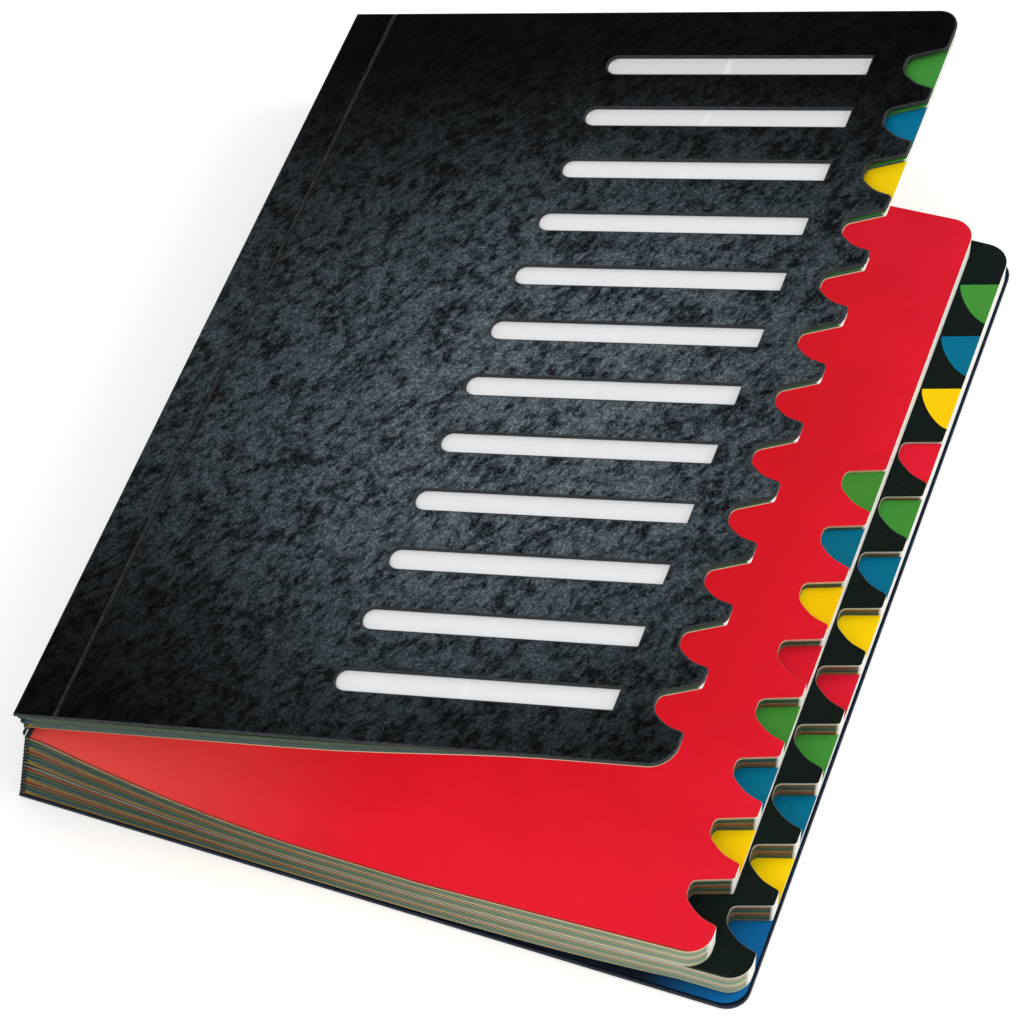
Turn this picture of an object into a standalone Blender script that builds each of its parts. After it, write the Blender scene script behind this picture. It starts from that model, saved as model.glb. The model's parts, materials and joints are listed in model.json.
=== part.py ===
"""File sorter: two pressboard covers with twenty notched divider leaves bound between them.

It lies on its back cover, opened at one of its compartments. In the block frame X runs from the
spine to the fore-edge, Y from the foot of the leaves to their head, and Z up from the desk. The
front cover and the three leaves lifted with it are drawn flat in a lifted frame, whose origin is
on the fold that they hang on. Every sheet turns on a fold along Y, and each fold hangs on the one
below it, so that turning a leaf takes all that lies on it along. Sizes are in metres.
"""

import math
from dataclasses import dataclass

import bmesh
import bpy

# Covers
COVER_LENGTH = 0.3142
FOOT_OVERHANG = 0.0034
HEAD_OVERHANG = 0.0024
BACK_COVER_WIDTH = 0.245
FRONT_COVER_WIDTH = 0.230
BOARD_THICKNESS = 0.0012
CORNER_RADIUS = 0.008
CREASE_FROM_SPINE = 0.0155
LIFT_ANGLE = math.radians(20.6)

# Leaves, counted from the back cover up
LEAF_THICKNESS = 0.00035
LEAF_INSET = 0.001
SHEET_GAP = 0.0003
LOWER_LEAVES = 9
MIDDLE_LEAVES = 8
LIFTED_LEAVES = 3
LOWER_REACH = 0.244
MIDDLE_REACH = 0.2305
DIP_END = 0.098
DIP_POWER = 1.8
RISE_START = 0.135
RISE_POWER = 1.1
RISE_STEP = 0.00046
DIP_STATIONS = 6
RISE_STATIONS = 3
LINING_THICKNESS = 0.0003

# Thumb notches and printed tabs along the fore-edge, counted from the head
TAB_COUNT = 12
HEAD_MARGIN = 0.0218
FOOT_MARGIN = 0.0026
NOTCH_DEPTH = 0.0128
NOTCH_SHARE = 0.584
NOTCH_SLANT = 0.0042
NOTCH_FLOOR = 0.0065
BELLY_DEPTH = 0.0065
BELLY_RISE = 0.002
COVER_TIP_ROUND = 0.0025
LEAF_TIP_ROUND = 0.001
INNER_ROUND = 0.0025
FLOOR_ROUND = 0.006
BELLY_ROUND = 0.014
HEEL_ROUND = 0.0012
ARC_STEP = math.radians(40)

# The highest tab that stays uncut on the top leaf of each group
LOWER_TOP_TAB = 3
MIDDLE_TOP_TAB = 4
LIFTED_TOP_TAB = 1

# Cloth pleats that hold the leaves' spine edges
CLOTH_THICKNESS = 0.0003
PLEAT_ARM = 0.0055
PLEAT_GAP = 0.00035
SPINE_PITCH = 0.0017
LIFTED_PITCH = 0.0026
SPINE_LEAN = 0.09
FOLD_OUTSET = 0.0002
WEB_RUN = 0.0026
WEB_HEIGHT = 0.0041

# Label windows in the front cover and the sheets behind them
WINDOW_LENGTH = 0.0967
WINDOW_HEIGHT = 0.0084
WINDOW_FROM_EDGE = 0.0255
WINDOW_RAISE = 0.0004
WINDOW_SMALL_ROUND = 0.003
WINDOW_LARGE_ROUND = 0.005
CUT_SPARE = 0.001
POCKET_LIP = 0.006
FILM_THICKNESS = 0.0002
LABEL_THICKNESS = 0.00025
LABEL_INSET = 0.001
CREASE_GAP = 0.0004

TAB_PITCH = (COVER_LENGTH - HEAD_MARGIN - FOOT_MARGIN) / TAB_COUNT
NOTCH_LENGTH = NOTCH_SHARE * TAB_PITCH
LEAF_LENGTH = COVER_LENGTH - 2 * LEAF_INSET
BLOCK_LEAN = SPINE_LEAN * SPINE_PITCH * (LOWER_LEAVES + MIDDLE_LEAVES)
FLAT_END = max(BLOCK_LEAN, WEB_RUN) + PLEAT_ARM + 2 * CLOTH_THICKNESS
FIRST_MIDDLE = LOWER_LEAVES + 1
FIRST_LIFTED = LOWER_LEAVES + MIDDLE_LEAVES + 1
MIDDLE_SPAN = MIDDLE_REACH - NOTCH_DEPTH - CORNER_RADIUS


@dataclass(frozen=True)
class Leaf:
    """One divider leaf: the levels of its underside, its reach from the spine and its first cut tab."""

    number: int
    pleat_x: float
    pleat_level: float
    pleat_height: float
    rest_level: float
    rise: float
    reach: float
    first_cut: int

    @property
    def spine_level(self):
        """Underside of the leaf where the pleat holds it."""
        return self.pleat_level + (self.pleat_height - LEAF_THICKNESS) / 2

    @property
    def fold(self):
        """X and Z of the fold that the leaf turns on, at the outer foot of its pleat."""
        if self.number == FIRST_LIFTED:
            return 0.0, 0.0
        return self.pleat_x - FOLD_OUTSET, self.pleat_level - PLEAT_GAP / 2

    def underside(self, x):
        """Height of the leaf's underside at this distance from the spine."""
        level = self.rest_level + (self.spine_level - self.rest_level) * dip(x)
        return level + self.rise * rise(x, self.reach)


def dip(x):
    """Share of the spine's extra height that is left at x: one at the pleats, none past DIP_END."""
    along = min(max((x - FLAT_END) / (DIP_END - FLAT_END), 0.0), 1.0)
    return (1 - along) ** DIP_POWER


def rise(x, reach):
    """Share of a leaf's lift at the fore-edge that it has at x."""
    along = max((x - RISE_START) / (reach - RISE_START), 0.0)
    return along ** RISE_POWER


def spread(start, end, count):
    """Evenly spaced values after start, up to and with end."""
    return [start + (end - start) * (index + 1) / count for index in range(count)]


def rounded(corners):
    """Plan points of a line through these (x, y, radius) corners, each rounded by an arc."""
    points = []
    for index, (x, y, radius) in enumerate(corners):
        if radius == 0 or index in (0, len(corners) - 1):
            points.append((x, y))
            continue
        back = (corners[index - 1][0] - x, corners[index - 1][1] - y)
        ahead = (corners[index + 1][0] - x, corners[index + 1][1] - y)
        back_length, ahead_length = math.hypot(*back), math.hypot(*ahead)
        back = (back[0] / back_length, back[1] / back_length)
        ahead = (ahead[0] / ahead_length, ahead[1] / ahead_length)
        half = math.acos(max(-1.0, min(1.0, back[0] * ahead[0] + back[1] * ahead[1]))) / 2
        reach = radius / math.tan(half)
        middle = (back[0] + ahead[0], back[1] + ahead[1])
        middle_length = math.hypot(*middle)
        centre = (
            x + middle[0] / middle_length * radius / math.sin(half),
            y + middle[1] / middle_length * radius / math.sin(half),
        )
        start = math.atan2(y + back[1] * reach - centre[1], x + back[0] * reach - centre[0])
        end = math.atan2(y + ahead[1] * reach - centre[1], x + ahead[0] * reach - centre[0])
        turn = (end - start + math.pi) % (2 * math.pi) - math.pi
        steps = max(1, math.ceil(abs(turn) / ARC_STEP))
        for step in range(steps + 1):
            angle = start + turn * step / steps
            points.append((centre[0] + radius * math.cos(angle), centre[1] + radius * math.sin(angle)))
    return points


def tab_top(tab):
    """Y of the inner end of the straight edge of this tab's notch."""
    return COVER_LENGTH / 2 - HEAD_MARGIN - (tab - 1) * TAB_PITCH


def fore_edge(start, reach, length, first_cut, tip_round):
    """Plan points along the fore-edge, from the foot at x = start to the head, with notches cut.

    A notch runs from its heel over a belly to its floor, and back out along a straight edge that
    slants towards the head.
    """
    half = length / 2
    corners = [(start, -half, 0), (reach, -half, CORNER_RADIUS)]
    for tab in range(TAB_COUNT, first_cut - 1, -1):
        top = tab_top(tab)
        heel = max(top - NOTCH_LENGTH, CORNER_RADIUS + HEEL_ROUND - half)
        corners.append((reach, heel, HEEL_ROUND))
        corners.append((reach - BELLY_DEPTH, heel + BELLY_RISE, BELLY_ROUND))
        corners.append((reach - NOTCH_DEPTH, top - NOTCH_FLOOR, FLOOR_ROUND))
        corners.append((reach - NOTCH_DEPTH, top, INNER_ROUND))
        corners.append((reach, top + NOTCH_SLANT, tip_round))
    corners += [(reach, half, CORNER_RADIUS), (start, half, 0)]
    return rounded(corners)


def new_material(name, colour, roughness):
    """A Principled material of one colour."""
    material = bpy.data.materials.new(name)
    material.use_nodes = True
    shader = material.node_tree.nodes["Principled BSDF"]
    shader.inputs["Base Color"].default_value = (*colour, 1.0)
    shader.inputs["Roughness"].default_value = roughness
    material.diffuse_color = (*colour, 1.0)
    return material


def add_object(name, mesh, parent, material):
    """Hangs a finished mesh, already drawn around its parent's origin, on that parent."""
    mesh.materials.append(material)
    placed = bpy.data.objects.new(name, mesh)
    placed.parent = parent
    bpy.context.scene.collection.objects.link(placed)
    return placed


def add_fold(name, parent, offset, turn=0.0):
    """An empty on a fold's axis, at this X and Z from its parent, lifted by turn."""
    fold = bpy.data.objects.new(name, None)
    fold.parent = parent
    fold.location = (offset[0], 0.0, offset[1])
    fold.rotation_euler.y = -turn
    bpy.context.scene.collection.objects.link(fold)
    return fold


def sheet_mesh(name, stations, end_outline, underside, thickness, origin):
    """A sheet that follows underside(x), as thick all over, with a flat end of this plan outline.

    The end outline runs from the foot to the head, and starts and ends at the last station.
    """
    half = end_outline[-1][1]
    bend, reach = stations[-1], max(x for x, _ in end_outline)
    slope = (underside(reach) - underside(bend)) / (reach - bend)
    body = bmesh.new()

    def point(x, y, top):
        level = underside(min(x, bend)) + slope * max(x - bend, 0.0) + (thickness if top else 0.0)
        return body.verts.new((x - origin[0], y, level - origin[1]))

    rows = {}
    for top in (False, True):
        feet = [point(x, -half, top) for x in stations]
        heads = [point(x, half, top) for x in stations]
        rim = [point(x, y, top) for x, y in end_outline[1:-1]]
        rows[top] = (feet, heads, [feet[-1], *rim, heads[-1]])
    for top, (feet, heads, rim) in rows.items():
        for index in range(len(stations) - 1):
            face = [feet[index], feet[index + 1], heads[index + 1], heads[index]]
            body.faces.new(face if top else face[::-1])
        body.faces.new(rim if top else rim[::-1])
    low, high = rows[False], rows[True]
    outline_low = [*low[0][:-1], *low[2], *low[1][-2::-1]]
    outline_high = [*high[0][:-1], *high[2], *high[1][-2::-1]]
    for index in range(len(outline_low)):
        after = (index + 1) % len(outline_low)
        body.faces.new([outline_low[index], outline_low[after], outline_high[after], outline_high[index]])
    return finished_mesh(name, body)


def draw_out(body, corners, along):
    """Adds the solid that a face with these corners leaves behind when it moves by along."""
    face = body.faces.new([body.verts.new(corner) for corner in corners])
    drawn = bmesh.ops.extrude_face_region(body, geom=[face])
    far = [item for item in drawn["geom"] if isinstance(item, bmesh.types.BMVert)]
    bmesh.ops.translate(body, verts=far, vec=along)


def finished_mesh(name, body):
    """The mesh of a finished bmesh, with its faces turned outwards."""
    bmesh.ops.recalc_face_normals(body, faces=body.faces)
    mesh = bpy.data.meshes.new(name)
    body.to_mesh(mesh)
    body.free()
    return mesh


def flat_mesh(name, outline, level, thickness, origin):
    """A flat sheet of this plan outline, its underside at level."""
    body = bmesh.new()
    corners = [(x - origin[0], y, level - origin[1]) for x, y in outline]
    draw_out(body, corners, (0.0, 0.0, thickness))
    return finished_mesh(name, body)


def strip_mesh(name, profile, length, origin):
    """A profile of (x, z) points drawn out along Y."""
    body = bmesh.new()
    corners = [(x - origin[0], -length / 2, z - origin[1]) for x, z in profile]
    draw_out(body, corners, (0.0, length, 0.0))
    return finished_mesh(name, body)


def block_leaves():
    """The leaves of the lower and middle groups, from the back cover up."""
    first_level = BOARD_THICKNESS + SHEET_GAP + LINING_THICKNESS + SHEET_GAP
    leaves = []
    for number in range(1, FIRST_LIFTED):
        middle = number >= FIRST_MIDDLE
        pleat_level = BOARD_THICKNESS + SHEET_GAP + (number - 1) * SPINE_PITCH
        above = (FIRST_LIFTED - 1 if middle else LOWER_LEAVES) - number
        top_tab = MIDDLE_TOP_TAB if middle else LOWER_TOP_TAB
        leaves.append(
            Leaf(
                number=number,
                pleat_x=SPINE_LEAN * pleat_level,
                pleat_level=pleat_level,
                pleat_height=SPINE_PITCH - PLEAT_GAP,
                rest_level=first_level + (number - 1) * (LEAF_THICKNESS + SHEET_GAP),
                rise=number * RISE_STEP,
                reach=MIDDLE_REACH if middle else LOWER_REACH,
                first_cut=top_tab + above + 1,
            )
        )
    return leaves


def cover_level():
    """Underside of the front cover in the lifted frame."""
    return WEB_HEIGHT + LIFTED_LEAVES * LIFTED_PITCH - PLEAT_GAP + SHEET_GAP


def film_level():
    """Underside of the clear film behind the windows."""
    return cover_level() - SHEET_GAP - FILM_THICKNESS


def label_level():
    """Underside of the label card behind the film."""
    return film_level() - SHEET_GAP - LABEL_THICKNESS


def pocket_level():
    """Underside of the back of the label pocket, the lowest sheet under the cover."""
    return label_level() - SHEET_GAP - LINING_THICKNESS


def lifted_leaves():
    """The leaves lifted with the front cover, in the lifted frame."""
    leaves = []
    for index in range(LIFTED_LEAVES):
        above = LIFTED_LEAVES - 1 - index
        leaves.append(
            Leaf(
                number=FIRST_LIFTED + index,
                pleat_x=WEB_RUN,
                pleat_level=WEB_HEIGHT + index * LIFTED_PITCH,
                pleat_height=LIFTED_PITCH - PLEAT_GAP,
                rest_level=pocket_level() - (above + 1) * (LEAF_THICKNESS + SHEET_GAP),
                rise=0.0,
                reach=WEB_RUN + FRONT_COVER_WIDTH - LEAF_INSET,
                first_cut=LIFTED_TOP_TAB + above + 1,
            )
        )
    return leaves


def leaf_stations(leaf):
    """Distances from the spine at which the leaf's profile bends."""
    start = leaf.pleat_x + CLOTH_THICKNESS + SHEET_GAP
    stations = [start, FLAT_END, *spread(FLAT_END, DIP_END, DIP_STATIONS)]
    if leaf.rise:
        stations += [RISE_START, *spread(RISE_START, MIDDLE_SPAN, RISE_STATIONS)]
    return stations


def add_leaf(leaf, fold, material):
    """The leaf's sheet, from inside its pleat to its notched fore-edge."""
    stations = leaf_stations(leaf)
    outline = fore_edge(stations[-1], leaf.reach, LEAF_LENGTH, leaf.first_cut, LEAF_TIP_ROUND)
    name = f"divider_leaf_{leaf.number:02d}"
    mesh = sheet_mesh(name, stations, outline, leaf.underside, LEAF_THICKNESS, leaf.fold)
    add_object(name, mesh, fold, material)


def add_pleat(leaf, fold, material):
    """The cloth channel round the leaf's spine edge; the lowest lifted one stands on a web."""
    left, right = leaf.pleat_x, leaf.pleat_x + PLEAT_ARM
    low, high = leaf.pleat_level, leaf.pleat_level + leaf.pleat_height
    inner = left + CLOTH_THICKNESS
    profile = [
        (right, low),
        (right, low + CLOTH_THICKNESS),
        (inner, low + CLOTH_THICKNESS),
        (inner, high - CLOTH_THICKNESS),
        (right, high - CLOTH_THICKNESS),
        (right, high),
        (left, high),
        (left, low),
    ]
    if leaf.number == FIRST_LIFTED:
        foot = FOLD_OUTSET
        profile += [(foot, foot), (foot + CLOTH_THICKNESS, foot), (inner, low)]
    name = f"spine_pleat_{leaf.number:02d}"
    add_object(name, strip_mesh(name, profile, LEAF_LENGTH, leaf.fold), fold, material)


def base_outline(left, inset):
    """Plan of a sheet that covers the back cover from left on, this far inside its other edges."""
    foot = inset - COVER_LENGTH / 2 - FOOT_OVERHANG
    head = COVER_LENGTH / 2 + HEAD_OVERHANG - inset
    reach = BACK_COVER_WIDTH - inset
    corners = [(left, foot, 0), (reach, foot, CORNER_RADIUS), (reach, head, CORNER_RADIUS), (left, head, 0)]
    return rounded(corners)


def plain_outline(left, right, half):
    """Plan of a rectangle, as long along Y as twice half."""
    return [(left, -half), (right, -half), (right, half), (left, half)]


def window_outline(tab):
    """Plan of one label window, rounded at its end towards the spine."""
    right = WEB_RUN + FRONT_COVER_WIDTH - WINDOW_FROM_EDGE
    left = right - WINDOW_LENGTH
    top = tab_top(tab) + WINDOW_RAISE
    low = top - WINDOW_HEIGHT
    middle = (left + right) / 2
    corners = [
        (middle, low, 0),
        (right, low, 0),
        (right, top, 0),
        (left, top, WINDOW_SMALL_ROUND),
        (left, low, WINDOW_LARGE_ROUND),
        (middle, low, 0),
    ]
    return rounded(corners)[:-1]


def cut_windows(cover, origin):
    """Cuts the label windows through the front cover with one Boolean."""
    body = bmesh.new()
    level = cover_level() - CUT_SPARE - origin[1]
    for tab in range(1, TAB_COUNT + 1):
        corners = [(x - origin[0], y, level) for x, y in window_outline(tab)]
        draw_out(body, corners, (0.0, 0.0, BOARD_THICKNESS + 2 * CUT_SPARE))
    cutter = bpy.data.objects.new("window_cutter", finished_mesh("window_cutter", body))
    cutter.parent = cover.parent
    cutter.hide_render = True
    cutter.display_type = "WIRE"
    bpy.context.scene.collection.objects.link(cutter)
    cut = cover.modifiers.new("windows", "BOOLEAN")
    cut.operation = "DIFFERENCE"
    cut.object = cutter


def add_back_cover(root, board, blue_paper):
    """The back cover and the blue lining sheet that lies on its inner face."""
    cover = flat_mesh("back_cover", base_outline(0.0, 0.0), 0.0, BOARD_THICKNESS, (0, 0))
    add_object("back_cover", cover, root, board)
    outline = base_outline(FLAT_END, LEAF_INSET)
    lining = flat_mesh("back_lining", outline, BOARD_THICKNESS + SHEET_GAP, LINING_THICKNESS, (0, 0))
    add_object("back_lining", lining, root, blue_paper)


def add_cover_strip(fold, origin, board):
    """The part of the front cover between its spine edge and its crease, glued to the top pleat."""
    half = COVER_LENGTH / 2
    right = WEB_RUN + CREASE_FROM_SPINE - CREASE_GAP / 2
    outline = plain_outline(WEB_RUN, right, half)
    mesh = flat_mesh("front_cover_strip", outline, cover_level(), BOARD_THICKNESS, origin)
    add_object("front_cover_strip", mesh, fold, board)


def pocket_sheets(reach):
    """The sheets behind the windows: name, start, end, half length, level and thickness."""
    end = reach - WINDOW_FROM_EDGE + POCKET_LIP
    start = reach - WINDOW_FROM_EDGE - WINDOW_LENGTH - POCKET_LIP
    half = COVER_LENGTH / 2 - LEAF_INSET
    inset = LABEL_INSET
    return (
        ("window_film", start, end, half, film_level(), FILM_THICKNESS),
        ("label_card", start + inset, end - inset, half - inset, label_level(), LABEL_THICKNESS),
        ("label_pocket_back", start, end, half, pocket_level(), LINING_THICKNESS),
    )


def add_front_cover(fold, origin, board, pocket_materials):
    """The turning panel of the front cover, with its windows and the pocket behind them."""
    left = WEB_RUN + CREASE_FROM_SPINE + CREASE_GAP / 2
    reach = WEB_RUN + FRONT_COVER_WIDTH
    outline = fore_edge(left, reach, COVER_LENGTH, 1, COVER_TIP_ROUND)
    mesh = flat_mesh("front_cover", outline, cover_level(), BOARD_THICKNESS, origin)
    cut_windows(add_object("front_cover", mesh, fold, board), origin)
    for sheet, material in zip(pocket_sheets(reach), pocket_materials):
        name, start, end, half, level, thickness = sheet
        mesh = flat_mesh(name, plain_outline(start, end, half), level, thickness, origin)
        add_object(name, mesh, fold, material)


def stand_on_origin(root):
    """Moves the sorter so that the middle of its box's underside is the world's origin."""
    bpy.context.view_layer.update()
    corners = [
        item.matrix_world @ vertex.co
        for item in bpy.data.objects
        if item.type == "MESH" and not item.hide_render
        for vertex in item.data.vertices
    ]
    for axis in (0, 1):
        values = [corner[axis] for corner in corners]
        root.location[axis] -= (min(values) + max(values)) / 2
    bpy.context.view_layer.update()


def make_materials():
    """Every material by name, with colours read from the photograph."""
    looks = {
        "black_pressboard": ((0.035, 0.042, 0.048), 0.5),
        "navy_pressboard": ((0.015, 0.035, 0.10), 0.5),
        "black_cloth": ((0.02, 0.03, 0.03), 0.8),
        "blue_paper": ((0.0, 0.10, 0.33), 0.6),
        "grey_paper": ((0.25, 0.26, 0.26), 0.7),
        "clear_film": ((0.9, 0.92, 0.93), 0.1),
        "white_card": ((0.86, 0.87, 0.86), 0.6),
        "black_card": ((0.01, 0.014, 0.013), 0.5),
        "green_card": ((0.045, 0.35, 0.04), 0.5),
        "blue_card": ((0.0, 0.17, 0.35), 0.5),
        "yellow_card": ((0.95, 0.60, 0.01), 0.5),
        "red_card": ((0.72, 0.015, 0.03), 0.5),
    }
    return {name: new_material(name, *look) for name, look in looks.items()}


def leaf_material(leaf, materials):
    """Green, blue, yellow and red in turn by tab; the lower group's top leaf is black."""
    if leaf.number == LOWER_LEAVES:
        return materials["black_card"]
    order = ("green_card", "blue_card", "yellow_card", "red_card")
    own_tab = leaf.first_cut - 1
    return materials[order[(own_tab - 1) % len(order)]]


def main():
    for item in list(bpy.data.objects):
        bpy.data.objects.remove(item)
    materials = make_materials()
    root = add_fold("sorter", None, (0.0, 0.0))
    add_back_cover(root, materials["navy_pressboard"], materials["blue_paper"])

    block = block_leaves()
    lifted = lifted_leaves()
    top_pleat = block[-1]
    lifted_fold = (
        top_pleat.pleat_x - FOLD_OUTSET,
        top_pleat.pleat_level + top_pleat.pleat_height + PLEAT_GAP / 2,
    )
    parent, origin = root, (0.0, 0.0)
    for leaf in block + lifted:
        first_lifted = leaf is lifted[0]
        at = lifted_fold if first_lifted else leaf.fold
        offset = (at[0] - origin[0], at[1] - origin[1])
        parent = add_fold(f"fold_{leaf.number:02d}", parent, offset, LIFT_ANGLE if first_lifted else 0.0)
        origin = leaf.fold
        add_pleat(leaf, parent, materials["black_cloth"])
        add_leaf(leaf, parent, leaf_material(leaf, materials))
    add_cover_strip(parent, origin, materials["black_pressboard"])
    crease = (WEB_RUN + CREASE_FROM_SPINE, cover_level() + BOARD_THICKNESS)
    cover_fold = add_fold("cover_crease", parent, (crease[0] - origin[0], crease[1] - origin[1]))
    pocket = (materials["clear_film"], materials["white_card"], materials["grey_paper"])
    add_front_cover(cover_fold, crease, materials["black_pressboard"], pocket)
    stand_on_origin(root)


main()
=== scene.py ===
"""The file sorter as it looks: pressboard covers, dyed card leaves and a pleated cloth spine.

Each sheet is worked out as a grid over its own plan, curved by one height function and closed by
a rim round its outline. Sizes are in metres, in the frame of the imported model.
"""

import json
import logging
import math
from dataclasses import dataclass, field
from enum import Enum
from typing import Any, Callable, Iterable, Sequence

import bpy
import numpy as np
from mathutils import Matrix, Vector
from mathutils.geometry import delaunay_2d_cdt


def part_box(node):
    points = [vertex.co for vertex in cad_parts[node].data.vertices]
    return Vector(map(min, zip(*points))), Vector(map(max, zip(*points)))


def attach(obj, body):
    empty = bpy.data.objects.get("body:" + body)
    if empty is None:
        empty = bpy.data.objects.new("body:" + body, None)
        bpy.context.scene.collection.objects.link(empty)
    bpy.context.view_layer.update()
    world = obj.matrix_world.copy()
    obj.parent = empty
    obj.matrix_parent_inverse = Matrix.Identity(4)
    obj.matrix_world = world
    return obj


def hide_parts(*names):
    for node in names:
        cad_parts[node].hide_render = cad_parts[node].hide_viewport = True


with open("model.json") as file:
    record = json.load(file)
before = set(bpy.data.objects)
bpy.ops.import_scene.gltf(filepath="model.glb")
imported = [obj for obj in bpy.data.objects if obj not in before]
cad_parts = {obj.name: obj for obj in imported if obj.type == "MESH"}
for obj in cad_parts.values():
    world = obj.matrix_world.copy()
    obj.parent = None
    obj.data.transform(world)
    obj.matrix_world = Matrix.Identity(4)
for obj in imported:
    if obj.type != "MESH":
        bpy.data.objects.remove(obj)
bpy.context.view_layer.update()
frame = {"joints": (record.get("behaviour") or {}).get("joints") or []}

LOG = logging.getLogger("file_sorter")

Array = np.ndarray
Plan = Callable[[Array, Array], Array]
Colour = tuple[float, float, float]
Corner = tuple[float, float, float]
Factors = tuple[float, float, float]

# A Mix node's sockets for colours: its share and its two colours, and what comes out.
MIX_INPUTS = (0, 6, 7)
MIX_OUTPUT = 2

TINY = 1e-12
SAME_PLACE = 1e-5
FILL_TOLERANCE = 1e-9
SHARP_ANGLE = math.radians(38)


class Dye(Enum):
    """Colour that a leaf's card is dyed, as its face reflects it."""

    GREEN = (0.055, 0.305, 0.045)
    BLUE = (0.001, 0.170, 0.315)
    YELLOW = (0.980, 0.690, 0.002)
    RED = (0.740, 0.012, 0.036)
    BLACK = (0.0045, 0.0100, 0.0085)

    @property
    def slot(self) -> str:
        """Names the record's material slot for card of this colour.

        Returns:
            The slot.
        """
        return f"{self.name.lower()}_card"


# Shader nodes and finishes


@dataclass(frozen=True)
class Noise:
    """A noise: its features a metre, how many finer layers it has and how strong they are."""

    scale: float
    detail: float = 2.0
    roughness: float = 0.5


@dataclass(frozen=True)
class Ramp:
    """A smooth step: the span of the value that goes in, and what comes out at its two ends."""

    low: float
    high: float
    start: float = 0.0
    end: float = 1.0


@dataclass(frozen=True)
class Relief:
    """A bump: its depth in metres and its strength."""

    depth: float
    strength: float = 1.0


class NodeDesk:
    """Lays out the nodes of one material."""

    def __init__(self, name: str) -> None:
        """Starts a material whose tree holds only a Principled shader.

        Args:
            name: the material's name.
        """
        self.material = bpy.data.materials.new(name)
        self.material.use_nodes = True
        self.tree = self.material.node_tree
        self.shader = self.tree.nodes["Principled BSDF"]

    def add(self, kind: str, inputs: dict[Any, Any] | None = None, **settings: Any) -> bpy.types.Node:
        """Adds a node.

        Args:
            kind: the node's type, without its ShaderNode prefix.
            inputs: what goes into its sockets, by name or index: a value, or a socket to link.
            settings: properties to set on the node.

        Returns:
            The node.
        """
        node = self.tree.nodes.new("ShaderNode" + kind)
        for key, value in settings.items():
            setattr(node, key, value)
        for key, value in (inputs or {}).items():
            self.feed(node.inputs[key], value)
        return node

    def feed(self, socket: bpy.types.NodeSocket, value: Any) -> None:
        """Links a socket to the given output, or sets its value.

        Args:
            socket: the socket.
            value: an output, or the value.
        """
        if isinstance(value, bpy.types.NodeSocket):
            self.tree.links.new(value, socket)
        elif isinstance(value, tuple) and len(value) == 3 and socket.type == "RGBA":
            socket.default_value = (*value, 1.0)
        else:
            socket.default_value = value

    def noise(self, where: Any, noise: Noise) -> Any:
        """Adds a noise.

        Args:
            where: the point that it is read at.
            noise: its sizes.

        Returns:
            Its value, from 0 to 1.
        """
        inputs = {"Vector": where, "Scale": noise.scale, "Detail": noise.detail, "Roughness": noise.roughness}
        return self.add("TexNoise", inputs).outputs["Fac"]

    def math(self, operation: str, *values: Any, clamp: bool = False) -> Any:
        """Adds one Math node.

        Args:
            operation: the node's operation.
            values: its inputs in order.
            clamp: whether the result is held between 0 and 1.

        Returns:
            The result.
        """
        inputs = dict(enumerate(values))
        return self.add("Math", inputs, operation=operation, use_clamp=clamp).outputs[0]

    def remap(self, value: Any, ramp: Ramp) -> Any:
        """Carries a value over a smooth step, held to its ends.

        Args:
            value: the value.
            ramp: the step.

        Returns:
            The value that comes out.
        """
        inputs = {"Value": value, "From Min": ramp.low, "From Max": ramp.high}
        inputs |= {"To Min": ramp.start, "To Max": ramp.end}
        return self.add("MapRange", inputs, interpolation_type="SMOOTHSTEP").outputs["Result"]

    def mix(self, share: Any, first: Any, second: Any, blend: str = "MIX") -> Any:
        """Mixes two colours.

        Args:
            share: how much of the second.
            first: the first colour.
            second: the second colour.
            blend: how they are mixed.

        Returns:
            The mixed colour.
        """
        node = self.add("Mix", data_type="RGBA", blend_type=blend)
        for index, value in zip(MIX_INPUTS, (share, first, second)):
            self.feed(node.inputs[index], value)
        return node.outputs[MIX_OUTPUT]

    def bump(self, height: Any, relief: Relief, normal: Any = None) -> Any:
        """Bumps the surface.

        Args:
            height: from 0 to 1.
            relief: the bump's depth and strength.
            normal: a normal that is bumped already.

        Returns:
            The normal.
        """
        inputs = {"Height": height, "Distance": relief.depth, "Strength": relief.strength}
        if normal is not None:
            inputs["Normal"] = normal
        return self.add("Bump", inputs).outputs["Normal"]

    def place(self) -> Any:
        """Finds where a point lies in the piece's own frame.

        Returns:
            The point.
        """
        return self.add("TexCoord").outputs["Object"]

    def stretched(self, where: Any, scale: Factors) -> Any:
        """Scales a point, so that what is read there is drawn out.

        Args:
            where: the point.
            scale: its factors along X, Y and Z.

        Returns:
            The scaled point.
        """
        return self.add("Mapping", {"Vector": where, "Scale": scale}).outputs[0]

    def sheet(self, uv_map: str = "Sheet") -> Any:
        """Finds where a point lies on its flat sheet.

        Args:
            uv_map: Sheet, or Corner for the way from the foot corner at the fore-edge.

        Returns:
            The x and the y, in metres.
        """
        place = self.add("UVMap", uv_map=uv_map).outputs["UV"]
        return self.add("SeparateXYZ", {0: place}).outputs

    def finish(self, **inputs: Any) -> bpy.types.Material:
        """Feeds the Principled shader.

        Args:
            inputs: what goes into its sockets, by their names with _ for a space.

        Returns:
            The material.
        """
        for key, value in inputs.items():
            self.feed(self.shader.inputs[key.replace("_", " ")], value)
        return self.material


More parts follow.
